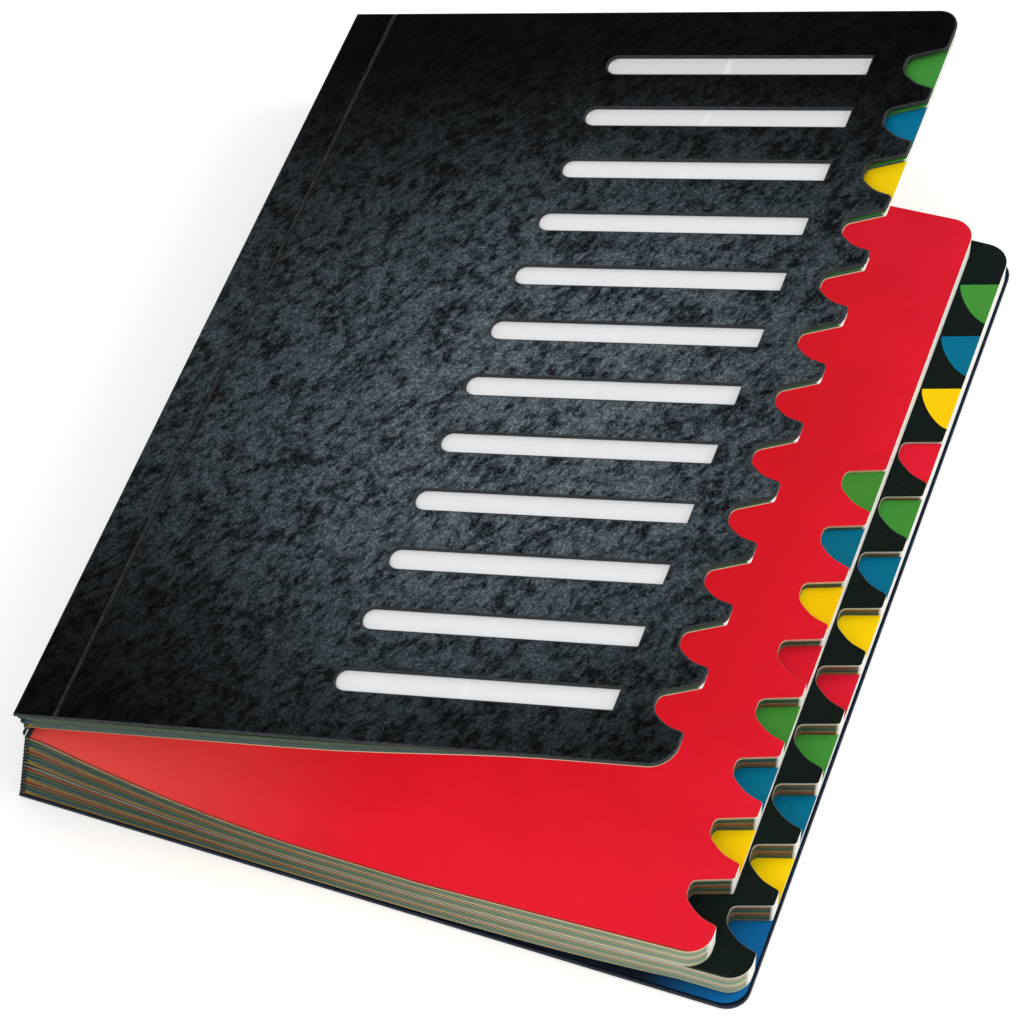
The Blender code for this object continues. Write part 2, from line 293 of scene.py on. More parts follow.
@dataclass(frozen=True)
class PaintedBorderShade:
    """Painted shade towards a board's borders, most towards the head, so that the middle stays lightest: each
    a smooth step to or from 1.
    """

    head: Ramp = Ramp(-0.005, 0.140, 1.0, 0.03)
    foot: Ramp = Ramp(-0.020, 0.105, 0.12, 1.0)
    spine: Ramp = Ramp(0.0, 0.130, 0.40, 1.0)
    fore: Ramp = Ramp(0.150, 0.250, 1.0, 0.55)
    corner: Ramp = Ramp(0.020, 0.140, 0.32, 1.0)

    def share(self, desk: NodeDesk) -> Any:
        """Multiplies the steps together.

        With y up from the middle, low up from the foot edge and x from the spine, the share is
        head(y) * foot(low) * spine(x) * fore(x) * corner(sqrt(x^2 + low^2)).

        Args:
            desk: the material's nodes.

        Returns:
            The share of colour that the painted shade leaves, 1 in the middle of the board.
        """
        split = desk.sheet()
        low = desk.math("SUBTRACT", split[1], -NOTCHES.cover_length / 2)
        squares = desk.math("ADD", desk.math("POWER", split[0], 2.0), desk.math("POWER", low, 2.0))
        share = desk.remap(split[1], self.head)
        for value, ramp in (
            (low, self.foot), (split[0], self.spine), (split[0], self.fore),
            (desk.math("SQRT", squares), self.corner),
        ):
            share = desk.math("MULTIPLY", share, desk.remap(value, ramp))
        return share


@dataclass(frozen=True)
class Pressboard:
    """Calendered fibre board, mottled by darker and paler fibre clumps under a satin coat."""

    name: str
    dark: Colour
    middle: Colour
    pale: Colour
    scores: tuple[float, ...] = ()
    # Painted shade towards the board's borders, if any.
    depth: PaintedBorderShade | None = None
    clouds: Noise = Noise(17.0, 4.0, 0.62)
    cloudy: float = 0.45
    clumps: Noise = Noise(340.0, 6.0, 0.76)
    lay: float = -0.6
    drawn: float = 1.8
    grain: Noise = Noise(1050.0, 3.0, 0.6)
    clumped: Ramp = Ramp(0.37, 0.58)
    fibrous: Ramp = Ramp(0.42, 0.68)
    fibrous_clumps: Ramp = Ramp(0.42, 0.62, 0.15, 1.0)
    clump_height: float = 0.6
    relief: Relief = Relief(0.00016, 0.6)
    rough: Ramp = Ramp(0.35, 0.65, 0.54, 0.42)
    gloss: float = 0.04
    groove: Ramp = Ramp(0.00004, 0.00036)
    # Painted shade in the grooves: how much of the dark colour they take.
    groove_shade: float = 0.8
    groove_relief: Relief = Relief(0.00025)

    def material(self) -> bpy.types.Material:
        """Dark clumps a few millimetres across, gathered in clouds, with fine pale fibres between them,
        painted shade towards the borders where depth is given and in the grooves where scores are given.

        Returns:
            The material.
        """
        desk = NodeDesk(self.name)
        where = desk.place()
        laid = {"Vector": where, "Rotation": (0.0, 0.0, self.lay), "Scale": (1.0, self.drawn, 1.0)}
        clumps = desk.noise(desk.add("Mapping", laid, vector_type="TEXTURE").outputs[0], self.clumps)
        grain = desk.noise(where, self.grain)
        clouds = desk.math("SUBTRACT", desk.noise(where, self.clouds), 0.5)
        tone = desk.math("ADD", clumps, desk.math("MULTIPLY", clouds, self.cloudy))
        base = desk.mix(desk.remap(tone, self.clumped), self.dark, self.middle)
        fibres = desk.math("MULTIPLY", desk.remap(grain, self.fibrous), desk.remap(tone, self.fibrous_clumps))
        base = desk.mix(fibres, base, self.pale)
        # Painted shade: the colour darkens towards the borders, most towards the head.
        if self.depth:
            base = desk.mix(1.0, base, self.depth.share(desk), "MULTIPLY")
        raised = desk.math("MULTIPLY", clumps, self.clump_height)
        height = desk.math("ADD", raised, desk.math("MULTIPLY", grain, 1.0 - self.clump_height))
        normal = desk.bump(height, self.relief)
        if self.scores:
            base, normal = self.scored(desk, base, normal)
        rough = desk.remap(clumps, self.rough)
        return desk.finish(Base_Color=base, Roughness=rough, Normal=normal, Specular_IOR_Level=self.gloss)

    def scored(self, desk: NodeDesk, base: Any, normal: Any) -> tuple[Any, Any]:
        """Presses a shallow groove at each X in scores.

        Args:
            desk: the material's nodes.
            base: the colour so far.
            normal: the normal so far.

        Returns:
            The colour, with painted shade in the grooves, and the normal that dips in them.
        """
        across = desk.sheet()[0]
        for place in self.scores:
            level = desk.remap(desk.math("ABSOLUTE", desk.math("SUBTRACT", across, place)), self.groove)
            # Painted shade: the groove takes the dark colour.
            share = desk.math("MULTIPLY", desk.math("SUBTRACT", 1.0, level), self.groove_shade)
            base = desk.mix(share, base, self.dark)
            normal = desk.bump(level, self.groove_relief, normal)
        return base, normal


@dataclass(frozen=True)
class BoardCore:
    """The cut edge of a board: darker pressed layers with a few pale fibres."""

    name: str
    colour: Colour
    fibre: Colour
    layered: Factors = (260.0, 260.0, 5200.0)
    layers: Noise = Noise(1.0, 3.0, 0.6)
    fibrous: Ramp = Ramp(0.42, 0.66)
    relief: Relief = Relief(0.00008, 0.8)
    roughness: float = 0.75

    def material(self) -> bpy.types.Material:
        """Thin layers through the thickness, broken up along the edge.

        Returns:
            The material.
        """
        desk = NodeDesk(self.name)
        layers = desk.noise(desk.stretched(desk.place(), self.layered), self.layers)
        colour = desk.mix(desk.remap(layers, self.fibrous), self.colour, self.fibre)
        return desk.finish(Base_Color=colour, Roughness=self.roughness, Normal=desk.bump(layers, self.relief))


@dataclass(frozen=True)
class DyedCard:
    """Smooth card dyed on its faces, with fibres, a painted sheen by the spine and painted shade along its
    foot edge.
    """

    dye: Dye
    printed: tuple[Dye, ...] = ()
    # Painted sheen: a pale warm colour mixed in by the spine, fading out 120 mm from it.
    spine_sheen: float = 0.10
    spine_sheen_end: float = 0.120
    spine_sheen_colour: Colour = (0.93, 0.78, 0.55)
    mark_power: float = 1.35
    slow: Noise = Noise(34.0, 3.0)
    uneven: Ramp = Ramp(0.35, 0.65)
    shade: Colour = (0.94, 0.91, 0.91)
    fibre_run: Factors = (1.0, 0.35, 1.0)
    fibres: Noise = Noise(1500.0, 4.0, 0.65)
    fibrous: Ramp = Ramp(0.56, 0.80, 0.0, 0.03)
    fibre_colour: Colour = (0.82, 0.76, 0.62)
    # Painted shade along the foot edge, in the cut edge's dark colour, where the leaves lie close.
    foot_shade: Ramp = Ramp(0.0003, 0.0009, 0.85, 0.0)
    rough: Ramp = Ramp(0.3, 0.7, 0.48, 0.60)
    relief: Relief = Relief(0.00005, 0.55)
    gloss: float = 0.05

    def material(self) -> bpy.types.Material:
        """The dye with slow unevenness and fine fibres, printed thumb marks where there are any, a painted
        sheen by the spine and painted shade along the foot edge.

        Returns:
            The material.
        """
        desk = NodeDesk(f"{self.dye.slot}{'_printed' if self.printed else ''}")
        where = desk.place()
        fibres = desk.noise(desk.stretched(where, self.fibre_run), self.fibres)
        colour = self.dye.value
        for index, dye in enumerate(self.printed):
            colour = desk.mix(self.mark(desk, index), colour, dye.value)
        deep = desk.mix(1.0, colour, self.shade, "MULTIPLY")
        base = desk.mix(desk.remap(desk.noise(where, self.slow), self.uneven), deep, colour)
        base = desk.mix(desk.remap(fibres, self.fibrous), base, self.fibre_colour)
        # Painted sheen by the spine.
        spine_sheen = desk.remap(desk.sheet()[0], Ramp(0.0, self.spine_sheen_end, self.spine_sheen, 0.0))
        base = desk.mix(spine_sheen, base, self.spine_sheen_colour)
        # Painted shade along the foot edge.
        at_foot = desk.remap(desk.sheet("Corner")[1], self.foot_shade)
        base = desk.mix(at_foot, base, CutEdge[self.dye.name].value[0])
        return desk.finish(
            Base_Color=base, Roughness=desk.remap(fibres, self.rough),
            Normal=desk.bump(fibres, self.relief), Specular_IOR_Level=self.gloss,
        )

    def mark(self, desk: NodeDesk, index: int) -> Any:
        """The printed mark of one tab: where a ** power + b ** power < 1, as large as a notch.

        a is the way in from the fore-edge and b the way down from the tab's slanted edge, each
        as a share of the mark's size.

        Args:
            desk: the material's nodes.
            index: 0 for the first tab from the head.

        Returns:
            The share of the mark's ink.
        """
        notch = NOTCHES
        split = desk.sheet()
        inward = desk.math("DIVIDE", desk.math("SUBTRACT", LOWER_REACH, split[0]), notch.depth)
        slanted = desk.math("MULTIPLY", desk.math("SUBTRACT", 1.0, inward), notch.slant)
        edge = desk.math("ADD", slanted, notch.top(index + 1))
        along = desk.math("DIVIDE", desk.math("SUBTRACT", edge, split[1]), notch.length + notch.slant)
        down = desk.math("POWER", desk.math("MAXIMUM", along, 0.0), self.mark_power)
        reach = desk.math("ADD", desk.math("POWER", inward, self.mark_power), down)
        inside = desk.math("LESS_THAN", reach, 1.0)
        return desk.math("MULTIPLY", inside, desk.math("GREATER_THAN", along, 0.0))


class CutEdge(Enum):
    """Colours of a card's cut edge: a dark one, soaked-in dye deepened by painted shade, and a tint where the
    pulp shows.
    """

    GREEN = ((0.030, 0.060, 0.026), (0.25, 0.35, 0.20))
    BLUE = ((0.022, 0.052, 0.045), (0.25, 0.35, 0.27))
    YELLOW = ((0.150, 0.088, 0.026), (0.54, 0.53, 0.34))
    RED = ((0.125, 0.042, 0.015), (0.46, 0.36, 0.25))
    BLACK = ((0.050, 0.052, 0.036), (0.48, 0.50, 0.39))


class Wear(Enum):
    """How a card's cut edge is coloured, with the painted shade that it takes."""

    DYED = "dyed"
    BARE = "bare"
    # Painted shade all over the edge, for the lifted leaves under the cover.
    DEEP = "deep"


@dataclass(frozen=True)
class CardCore:
    """The cut edge of a dyed card: cream pulp, darker away from the fore-edge with soaked-in dye and painted
    shade.
    """

    dye: Dye
    wear: Wear = Wear.DYED
    pulp: Colour = (0.93, 0.92, 0.85)
    warm_pulp: Colour = (0.72, 0.52, 0.36)
    at_fore_edge: Ramp = Ramp(0.0003, 0.0012, 0.85, 0.0)
    # The foot face keeps its tint; the notch walls above it take the dark colour as painted shade.
    at_foot: Ramp = Ramp(0.0085, 0.0095, 1.0, 0.0)
    # Painted shade: the foot face's tint fades to the dark colour towards the spine.
    clean: Ramp = Ramp(0.050, 0.210, 1.0, 0.0)
    bared: Ramp = Ramp(0.060, 0.220, 0.80, 0.22)
    streak_run: Factors = (90.0, 420.0, 2600.0)
    streaks: Noise = Noise(1.0, 4.0, 0.6)
    soaked: Ramp = Ramp(0.3, 0.7, -0.10, 0.12)
    tooth: Noise = Noise(2600.0)
    relief: Relief = Relief(0.00004, 0.6)
    roughness: float = 0.7

    def material(self) -> bpy.types.Material:
        """Clean pulp at the fore-edge, a dull tint along the foot, and the dark colour by the spine and on
        the notch walls as painted shade.

        Returns:
            The material.
        """
        desk = NodeDesk(f"{self.dye.slot}_{self.wear.value}_edge")
        deep, tinted = CutEdge[self.dye.name].value
        where = desk.place()
        split = desk.sheet("Corner")
        inward = desk.math("MULTIPLY", split[0], -1.0)
        streaks = desk.noise(desk.stretched(where, self.streak_run), self.streaks)
        share = soak = desk.remap(streaks, self.soaked)
        # Painted shade: the dark colour everywhere but on the foot face towards the fore-edge; shaded edges
        # take it all over.
        if self.wear is not Wear.DEEP:
            clean = desk.math("MULTIPLY", desk.remap(split[1], self.at_foot), desk.remap(inward, self.clean))
            share = desk.math("ADD", clean, soak, clamp=True)
        colour = desk.mix(share, deep, tinted)
        # The top leaf of each group and the lowest lifted one: a paler, warmer edge, most towards the
        # fore-edge.
        if self.wear is Wear.BARE:
            bared = desk.math("ADD", desk.remap(inward, self.bared), soak)
            colour = desk.mix(bared, colour, tinted if self.dye is Dye.BLACK else self.warm_pulp)
        colour = desk.mix(desk.remap(inward, self.at_fore_edge), colour, self.pulp)
        normal = desk.bump(desk.noise(where, self.tooth), self.relief)
        return desk.finish(Base_Color=colour, Roughness=self.roughness, Normal=normal)


@dataclass(frozen=True)
class BindingCloth:
    """Black book cloth: a plain linen weave filled with size."""

    name: str = "black_cloth_woven"
    thread: float = 0.00042
    woven: float = 0.5
    slubs: Noise = Noise(420.0, 4.0, 0.6)
    worn: Ramp = Ramp(0.1, 1.2)
    deep: Colour = (0.004, 0.010, 0.010)
    pale: Colour = (0.020, 0.040, 0.040)
    relief: Relief = Relief(0.00012, 0.9)
    roughness: float = 0.72
    gloss: float = 0.35

    def material(self) -> bpy.types.Material:
        """Warp and weft as two crossed waves: sin(pi x / thread) * sin(pi y / thread), with slubs.

        Returns:
            The material.
        """
        desk = NodeDesk(self.name)
        split = desk.sheet()
        turn = math.pi / self.thread
        warp, weft = (desk.math("SINE", desk.math("MULTIPLY", split[axis], turn)) for axis in (0, 1))
        weave = desk.math("MULTIPLY", desk.math("MULTIPLY", warp, weft), self.woven)
        height = desk.math("ADD", weave, desk.noise(desk.place(), self.slubs))
        base = desk.mix(desk.remap(height, self.worn), self.deep, self.pale)
        normal = desk.bump(height, self.relief)
        return desk.finish(
            Base_Color=base, Roughness=self.roughness, Normal=normal, Specular_IOR_Level=self.gloss
        )


@dataclass(frozen=True)
class PlainPaper:
    """Smooth paper with faint clouds in its furnish, and painted shade in a band along its foot, under the
    leaves, if it has one.
    """

    name: str
    colour: Colour
    roughness: float = 0.6
    lap: Colour | None = None
    lap_foot: Ramp = Ramp(-0.1557, -0.1545, 1.0, 0.0)
    lap_run: Ramp = Ramp(0.208, 0.238, 1.0, 0.0)
    clouds: Noise = Noise(90.0, 5.0, 0.6)
    cloudy: Ramp = Ramp(0.35, 0.65)
    shade: float = 0.86
    fibres: Noise = Noise(1700.0, 3.0, 0.6)
    relief: Relief = Relief(0.00004, 0.5)
    gloss: float = 0.12

    def material(self) -> bpy.types.Material:
        """Slow clouds and fine fibres, and the painted shade along the foot where there is one.

        Returns:
            The material.
        """
        desk = NodeDesk(self.name)
        where = desk.place()
        clouds = desk.noise(where, self.clouds)
        deep = tuple(self.shade * c for c in self.colour)
        base = desk.mix(desk.remap(clouds, self.cloudy), deep, self.colour)
        # Painted shade in a band along the foot, under the leaves, fading out before the fore-edge corner.
        if self.lap:
            split = desk.sheet()
            foot = desk.remap(split[1], self.lap_foot)
            share = desk.math("MULTIPLY", foot, desk.remap(split[0], self.lap_run))
            base = desk.mix(share, base, self.lap)
        normal = desk.bump(desk.noise(where, self.fibres), self.relief)
        return desk.finish(
            Base_Color=base, Roughness=self.roughness, Normal=normal, Specular_IOR_Level=self.gloss
        )


@dataclass(frozen=True)
class LabelPrint:
    """White label card with a pale grey field printed behind each window, darker towards the head by painted
    shade.
    """

    windows: "Windows"
    paper: Colour = (0.97, 0.97, 0.97)
    # The printed field by the head, darkened by painted shade.
    head_field: Colour = (0.65, 0.66, 0.67)
    foot_field: Colour = (0.90, 0.90, 0.90)
    shaded: Ramp = Ramp(0.075, 0.16)
    border: float = 0.00075
    divide: float = 0.464
    divide_half: float = 0.0011
    inked: Ramp = Ramp(-0.00005, 0.00015)
    line_inked: Ramp = Ramp(-0.0004, 0.0004, 0.45, 1.0)
    fibres: Noise = Noise(1500.0, 3.0, 0.6)
    fibrous: Ramp = Ramp(0.5, 0.8, 0.0, 0.05)
    fibre_colour: Colour = (0.7, 0.7, 0.68)
    relief: Relief = Relief(0.00003, 0.4)
    roughness: float = 0.55

    def material(self) -> bpy.types.Material:
        """A field is where a point is over a border's width inside its window and off the dividing line.

        Returns:
            The material.
        """
        desk = NodeDesk("white_card_printed")
        split = desk.sheet()
        win = self.windows
        below = desk.math("SUBTRACT", NOTCHES.top(1) + win.lift, split[1])
        row = desk.math("FLOORED_MODULO", below, NOTCHES.pitch)
        half, middle = win.length / 2, win.height / 2

        def off(value: Any, place: float) -> Any:
            """How far a value is from a place.

            Args:
                value: the value.
                place: the place.

            Returns:
                The distance.
            """
            return desk.math("ABSOLUTE", desk.math("SUBTRACT", value, place))

        rise = desk.math("SUBTRACT", middle - self.border, off(row, middle))
        run = desk.math("SUBTRACT", half - self.border, off(split[0], win.left + half))
        line = desk.math("SUBTRACT", off(split[0], win.left + self.divide * win.length), self.divide_half)
        field_share = desk.remap(desk.math("MINIMUM", rise, run), self.inked)
        share = desk.math("MULTIPLY", field_share, desk.remap(line, self.line_inked))
        # Painted shade: the field darkens towards the head.
        shade = desk.mix(desk.remap(split[1], self.shaded), self.foot_field, self.head_field)
        base = desk.mix(share, self.paper, shade)
        fibres = desk.noise(desk.place(), self.fibres)
        base = desk.mix(desk.remap(fibres, self.fibrous), base, self.fibre_colour)
        return desk.finish(Base_Color=base, Roughness=self.roughness, Normal=desk.bump(fibres, self.relief))


@dataclass(frozen=True)
class ClearFilm:
    """Thin clear film over the labels."""

    name: str = "clear_film_thin"
    veil: float = 0.10
    ripples: Noise = Noise(60.0)
    dull: Colour = (0.90, 0.92, 0.93)
    bright: Colour = (0.97, 0.98, 0.98)
    relief: Relief = Relief(0.0003, 0.3)
    roughness: float = 0.12

    def material(self) -> bpy.types.Material:
        """A faint glossy veil, mostly see-through, with a slight ripple.

        Returns:
            The material.
        """
        desk = NodeDesk(self.name)
        ripple = desk.noise(desk.place(), self.ripples)
        colour = desk.mix(ripple, self.dull, self.bright)
        normal = desk.bump(ripple, self.relief)
        return desk.finish(Base_Color=colour, Roughness=self.roughness, Alpha=self.veil, Normal=normal)


# Outlines


@dataclass(frozen=True)
class Notches:
    """Thumb notches along a fore-edge, counted from the head."""

    count: int = 12
    cover_length: float = 0.3142
    head_margin: float = 0.0218
    foot_margin: float = 0.0026
    depth: float = 0.0128
    share: float = 0.584
    slant: float = 0.0042
    floor: float = 0.0065
    belly_depth: float = 0.0065
    belly_rise: float = 0.002
    cover_tip: float = 0.0025
    leaf_tip: float = 0.001
    inner_round: float = 0.0025
    floor_round: float = 0.006
    belly_round: float = 0.014
    heel_round: float = 0.0012
    corner: float = 0.008

    @property
    def pitch(self) -> float:
        """Divides the cover's length between its margins by the number of notches.

        Returns:
            The distance from one notch to the next.
        """
        return (self.cover_length - self.head_margin - self.foot_margin) / self.count

    @property
    def length(self) -> float:
        """Takes a notch's share of the pitch.

        Returns:
            How far it reaches along the fore-edge, from its inner corner to its heel.
        """
        return self.share * self.pitch

    def top(self, tab: int) -> float:
        """Finds the inner end of the straight edge of one notch.

        Args:
            tab: the notch's number, from the head.

        Returns:
            Its Y.
        """
        return self.cover_length / 2 - self.head_margin - (tab - 1) * self.pitch

    def edge(self, reach: float, half: float, first_cut: int, tip: float) -> Array:
        """The fore-edge from the foot to the head.

        A notch runs from its heel over a belly to its floor, and back out along a straight
        edge that slants towards the head.

        Args:
            reach: X of the fore-edge.
            half: half of the sheet's length.
            first_cut: the first tab from the head that is cut.
            tip: rounding of the tongues' outer corners.

        Returns:
            (x, y) points whose y grows all the way, between the two rounded corners.
        """
        start = reach - 2 * self.depth
        corners = [(start, -half, 0.0), (reach, -half, self.corner)]
        for tab in range(self.count, first_cut - 1, -1):
            top = self.top(tab)
            heel = max(top - self.length, self.corner + self.heel_round - half)
            corners += [
                (reach, heel, self.heel_round),
                (reach - self.belly_depth, heel + self.belly_rise, self.belly_round),
                (reach - self.depth, top - self.floor, self.floor_round),
                (reach - self.depth, top, self.inner_round),
                (reach, top + self.slant, tip),
            ]
        corners += [(reach, half, self.corner), (start, half, 0.0)]
        return filleted(corners)[1:-1]


def filleted(corners: Sequence[Corner], step: float = 0.2) -> Array:
    """Rounds the corners of a line by arcs.

    Args:
        corners: (x, y, radius) of each corner. The first and the last are the line's ends.
        step: the most that one chord of an arc turns, in radians.

    Returns:
        (x, y) points.
    """
    points = [np.array(corners[0][:2])]
    for before, (x, y, radius), after in zip(corners, corners[1:], corners[2:]):
        corner = np.array((x, y))
        back, ahead = np.array(before[:2]) - corner, np.array(after[:2]) - corner
        back, ahead = back / np.linalg.norm(back), ahead / np.linalg.norm(ahead)
        half = math.acos(np.clip(back @ ahead, -1.0, 1.0)) / 2
        middle = (back + ahead) / np.linalg.norm(back + ahead)
        centre = corner + middle * radius / math.sin(half)
        from_centre = corner + back * radius / math.tan(half) - centre
        sweep = math.pi - 2 * half
        turned = math.copysign(sweep, ahead[0] * back[1] - ahead[1] * back[0])
        count = max(2, math.ceil(sweep / step))
        for angle in np.linspace(0.0, turned, count + 1):
            cos, sin = math.cos(angle), math.sin(angle)
            spoke = (from_centre[0] * cos - from_centre[1] * sin, from_centre[0] * sin + from_centre[1] * cos)
            points.append(centre + spoke)
    points.append(np.array(corners[-1][:2]))
    return np.array(points)


def parabola(start: Sequence[float], control: Sequence[float], end: Sequence[float], steps: int) -> Array:
    """Draws the curve that leaves start towards control and arrives at end from it.

    Args:
        start: (x, y) of its start.
        control: (x, y) that it is drawn towards.
        end: (x, y) of its end.
        steps: its chords.

    Returns:
        (x, y) points.
    """
    t = np.linspace(0.0, 1.0, steps + 1)[:, None]
    return (1 - t) ** 2 * np.array(start) + 2 * t * (1 - t) * np.array(control) + t**2 * np.array(end)


NOTCHES = Notches()
LOWER_REACH = 0.244


def outward(points: Array) -> Array:
    """Finds the unit normals of a closed line that runs against the clock, to its right.

    Args:
        points: (x, y) along the line.

    Returns:
        The normal at each point.
    """
    ahead = np.roll(points, -1, axis=0) - points
    ahead /= np.maximum(np.linalg.norm(ahead, axis=1, keepdims=True), TINY)
    both = ahead + np.roll(ahead, 1, axis=0)
    both /= np.maximum(np.linalg.norm(both, axis=1, keepdims=True), TINY)
    return np.column_stack([both[:, 1], -both[:, 0]])


# Meshes


@dataclass(frozen=True)
class Pose:
    """Where a drawing frame sits in the model: its origin's X and Z, and its turn about Y."""

    x: float
    z: float
    turn: float = 0.0
    y: float = 0.0

    def world(self, points: Array) -> Array:
        """Carries points of the drawing into the model's frame.

        Args:
            points: (x, y, z) of each.

        Returns:
            The carried points.
        """
        cos, sin = math.cos(self.turn), math.sin(self.turn)
        x = self.x + points[:, 0] * cos - points[:, 2] * sin
        z = self.z + points[:, 0] * sin + points[:, 2] * cos
        return np.column_stack([x, self.y + points[:, 1], z])


@dataclass
class Shell:
    """A mesh being put together: its points, its faces, and each face's finish."""

    points: list[Array] = field(default_factory=list)
    flat: list[Array] = field(default_factory=list)
    own: list[Array] = field(default_factory=list)
    faces: list[list[int]] = field(default_factory=list)
    finishes: list[int] = field(default_factory=list)
    total: int = 0

    def add_points(self, points: Array, flat: Array, own: Array | None = None) -> Array:
        """Adds points to the mesh.

        Args:
            points: (x, y, z) of each.
            flat: its place on the flat sheet.
            own: its place on the sheet as if the foot weren't moved out, where that differs.

        Returns:
            Their numbers.
        """
        numbers = np.arange(self.total, self.total + len(points))
        self.points.append(points)
        self.flat.append(flat)
        self.own.append(flat if own is None else own)
        self.total += len(points)
        return numbers

    def add_faces(self, corners: Array, finish: int) -> None:
        """Adds faces.

        Args:
            corners: one row of point numbers for each.
            finish: the number of their finish.
        """
        self.faces += corners.tolist()
        self.finishes += [finish] * len(corners)

    def add_grid(self, numbers: Array, finish: int, turned: bool = False) -> None:
        """Adds the faces between neighbouring numbers of a grid.

        Args:
            numbers: rows and columns of point numbers.
            finish: the number of their finish.
            turned: whether they face against rows x columns, rather than along it.
        """
        a, b = numbers[:-1, :-1], numbers[:-1, 1:]
        c, d = numbers[1:, 1:], numbers[1:, :-1]
        corners = np.stack([a, b, c, d], axis=-1).reshape(-1, 4)
        self.add_faces(corners[:, ::-1] if turned else corners, finish)

    def piece(
        self, name: str, pose: Pose, materials: Iterable[bpy.types.Material],
        corner: tuple[float, float] = (0.0, 0.0),
    ) -> bpy.types.Object:
        """Makes the object.

        Args:
            name: the piece's name.
            pose: where the drawing sits in the model.
            materials: one for each finish.
            corner: the sheet's foot corner at its fore-edge.

        Returns:
            The object, at the origin, with its place in its mesh.
        """
        mesh = bpy.data.meshes.new(name)
        mesh.from_pydata(pose.world(np.vstack(self.points)), [], self.faces)
        loops = np.empty(len(mesh.loops), np.int32)
        mesh.loops.foreach_get("vertex_index", loops)
        for map_name, places in (("Sheet", np.vstack(self.flat)), ("Corner", np.vstack(self.own) - corner)):
            layer = mesh.uv_layers.new(name=map_name)
            layer.data.foreach_set("uv", places[loops].astype(np.float32).ravel())
        mesh.polygons.foreach_set("material_index", np.array(self.finishes, np.int32))
        mesh.polygons.foreach_set("use_smooth", np.ones(len(mesh.polygons), bool))
        mesh.set_sharp_from_angle(angle=SHARP_ANGLE)
        for material in materials:
            mesh.materials.append(material)
        mesh.update()
        made = bpy.data.objects.new(name, mesh)
        bpy.context.scene.collection.objects.link(made)
        return made


def rim_profile(thickness: float, bevel: float, steps: int) -> Array:
    """Draws a rim from the top face's border down to the underside's.

    Args:
        thickness: the sheet's thickness.
        bevel: rounding of its edges.
        steps: chords in each rounding.

    Returns:
        (outset, height) of its points.
    """
    turn = np.linspace(0.0, math.pi / 2, steps + 1)
    top = np.column_stack([bevel * np.sin(turn), thickness - bevel * (1 - np.cos(turn))])
    low = top[::-1] * (1, -1) + (0, thickness)
    return np.vstack([top, low])


@dataclass(frozen=True)
class Sheet:
    """A sheet curved over one direction: its start, its fore-edge and its columns.

    A row runs from the spine side to each point of the fore-edge, at that point's y. Past the
    last of the fixed columns, edge_columns more share out what is left.
    """

    start: float
    edge: Array
    columns: Array
    thickness: float
    bevel: float = 0.00005
    bevel_steps: int = 1
    edge_columns: int = 3

    def plan(self) -> tuple[Array, Array]:
        """Lays the face's grid inside its rim.

        Returns:
            The x and the y of every grid point.
        """
        edge = self.edge
        loop = np.vstack([[self.start, edge[0, 1]], edge, [self.start, edge[-1, 1]]])
        normal = outward(loop)
        inset = loop - self.bevel * normal
        inside = inset[1:-1]
        start = self.start + self.bevel
        fixed = self.columns[self.columns > start + SAME_PLACE]
        last = fixed[-1]
        share = np.linspace(0.0, 1.0, self.edge_columns + 1)[1:]
        x = np.concatenate(
            [
                np.full((len(inside), 1), start),
                np.broadcast_to(fixed, (len(inside), len(fixed))),
                last + (inside[:, :1] - last) * share,
            ],
            axis=1,
        )
        return x, np.broadcast_to(inside[:, 1:], x.shape).copy()

    def shell(self, underside: Plan, spread: Plan, body: Plan) -> Shell:
        """Bends the sheet by a height function and closes it.

        Args:
            underside: height of the sheet of its own thickness.
            spread: how far the foot is moved out.
            body: what the sheet has under that, where it swells.

        Returns:
            The mesh so far.
        """
        x, y = self.plan()
        thick = body(x, y).ravel()
        own = np.column_stack([x.ravel(), y.ravel()])
        y = y - spread(x, y)
        rows, columns = x.shape
        shell = Shell()
        grid = np.arange(rows * columns).reshape(rows, columns)
        border = np.concatenate([grid[0, :], grid[1:, -1], grid[-1, -2::-1], grid[-2:0:-1, 0]])
        flat = np.column_stack([x.ravel(), y.ravel()])
        normal = outward(flat[border])
        level = underside(x, y).ravel()
        rings = []
        profile = rim_profile(self.thickness, self.bevel, self.bevel_steps)
        top = shell.add_points(np.column_stack([flat, level + self.thickness]), flat, own)
        low = shell.add_points(np.column_stack([flat, level - thick]), flat, own)
        rings.append(top[border])
        for outset, height in profile[1:-1]:
            ring = flat[border] + normal * outset
            at = level[border] + height - thick[border] * (height < self.thickness / 2)
            rings.append(shell.add_points(np.column_stack([ring, at]), ring, own[border] + normal * outset))
        rings.append(low[border])
        shell.add_grid(top.reshape(rows, columns), 0)
        shell.add_grid(low.reshape(rows, columns), 0, turned=True)
        stack = np.array(rings)
        stack = np.column_stack([stack, stack[:, :1]])
        shell.add_grid(stack, 1, turned=True)
        return shell


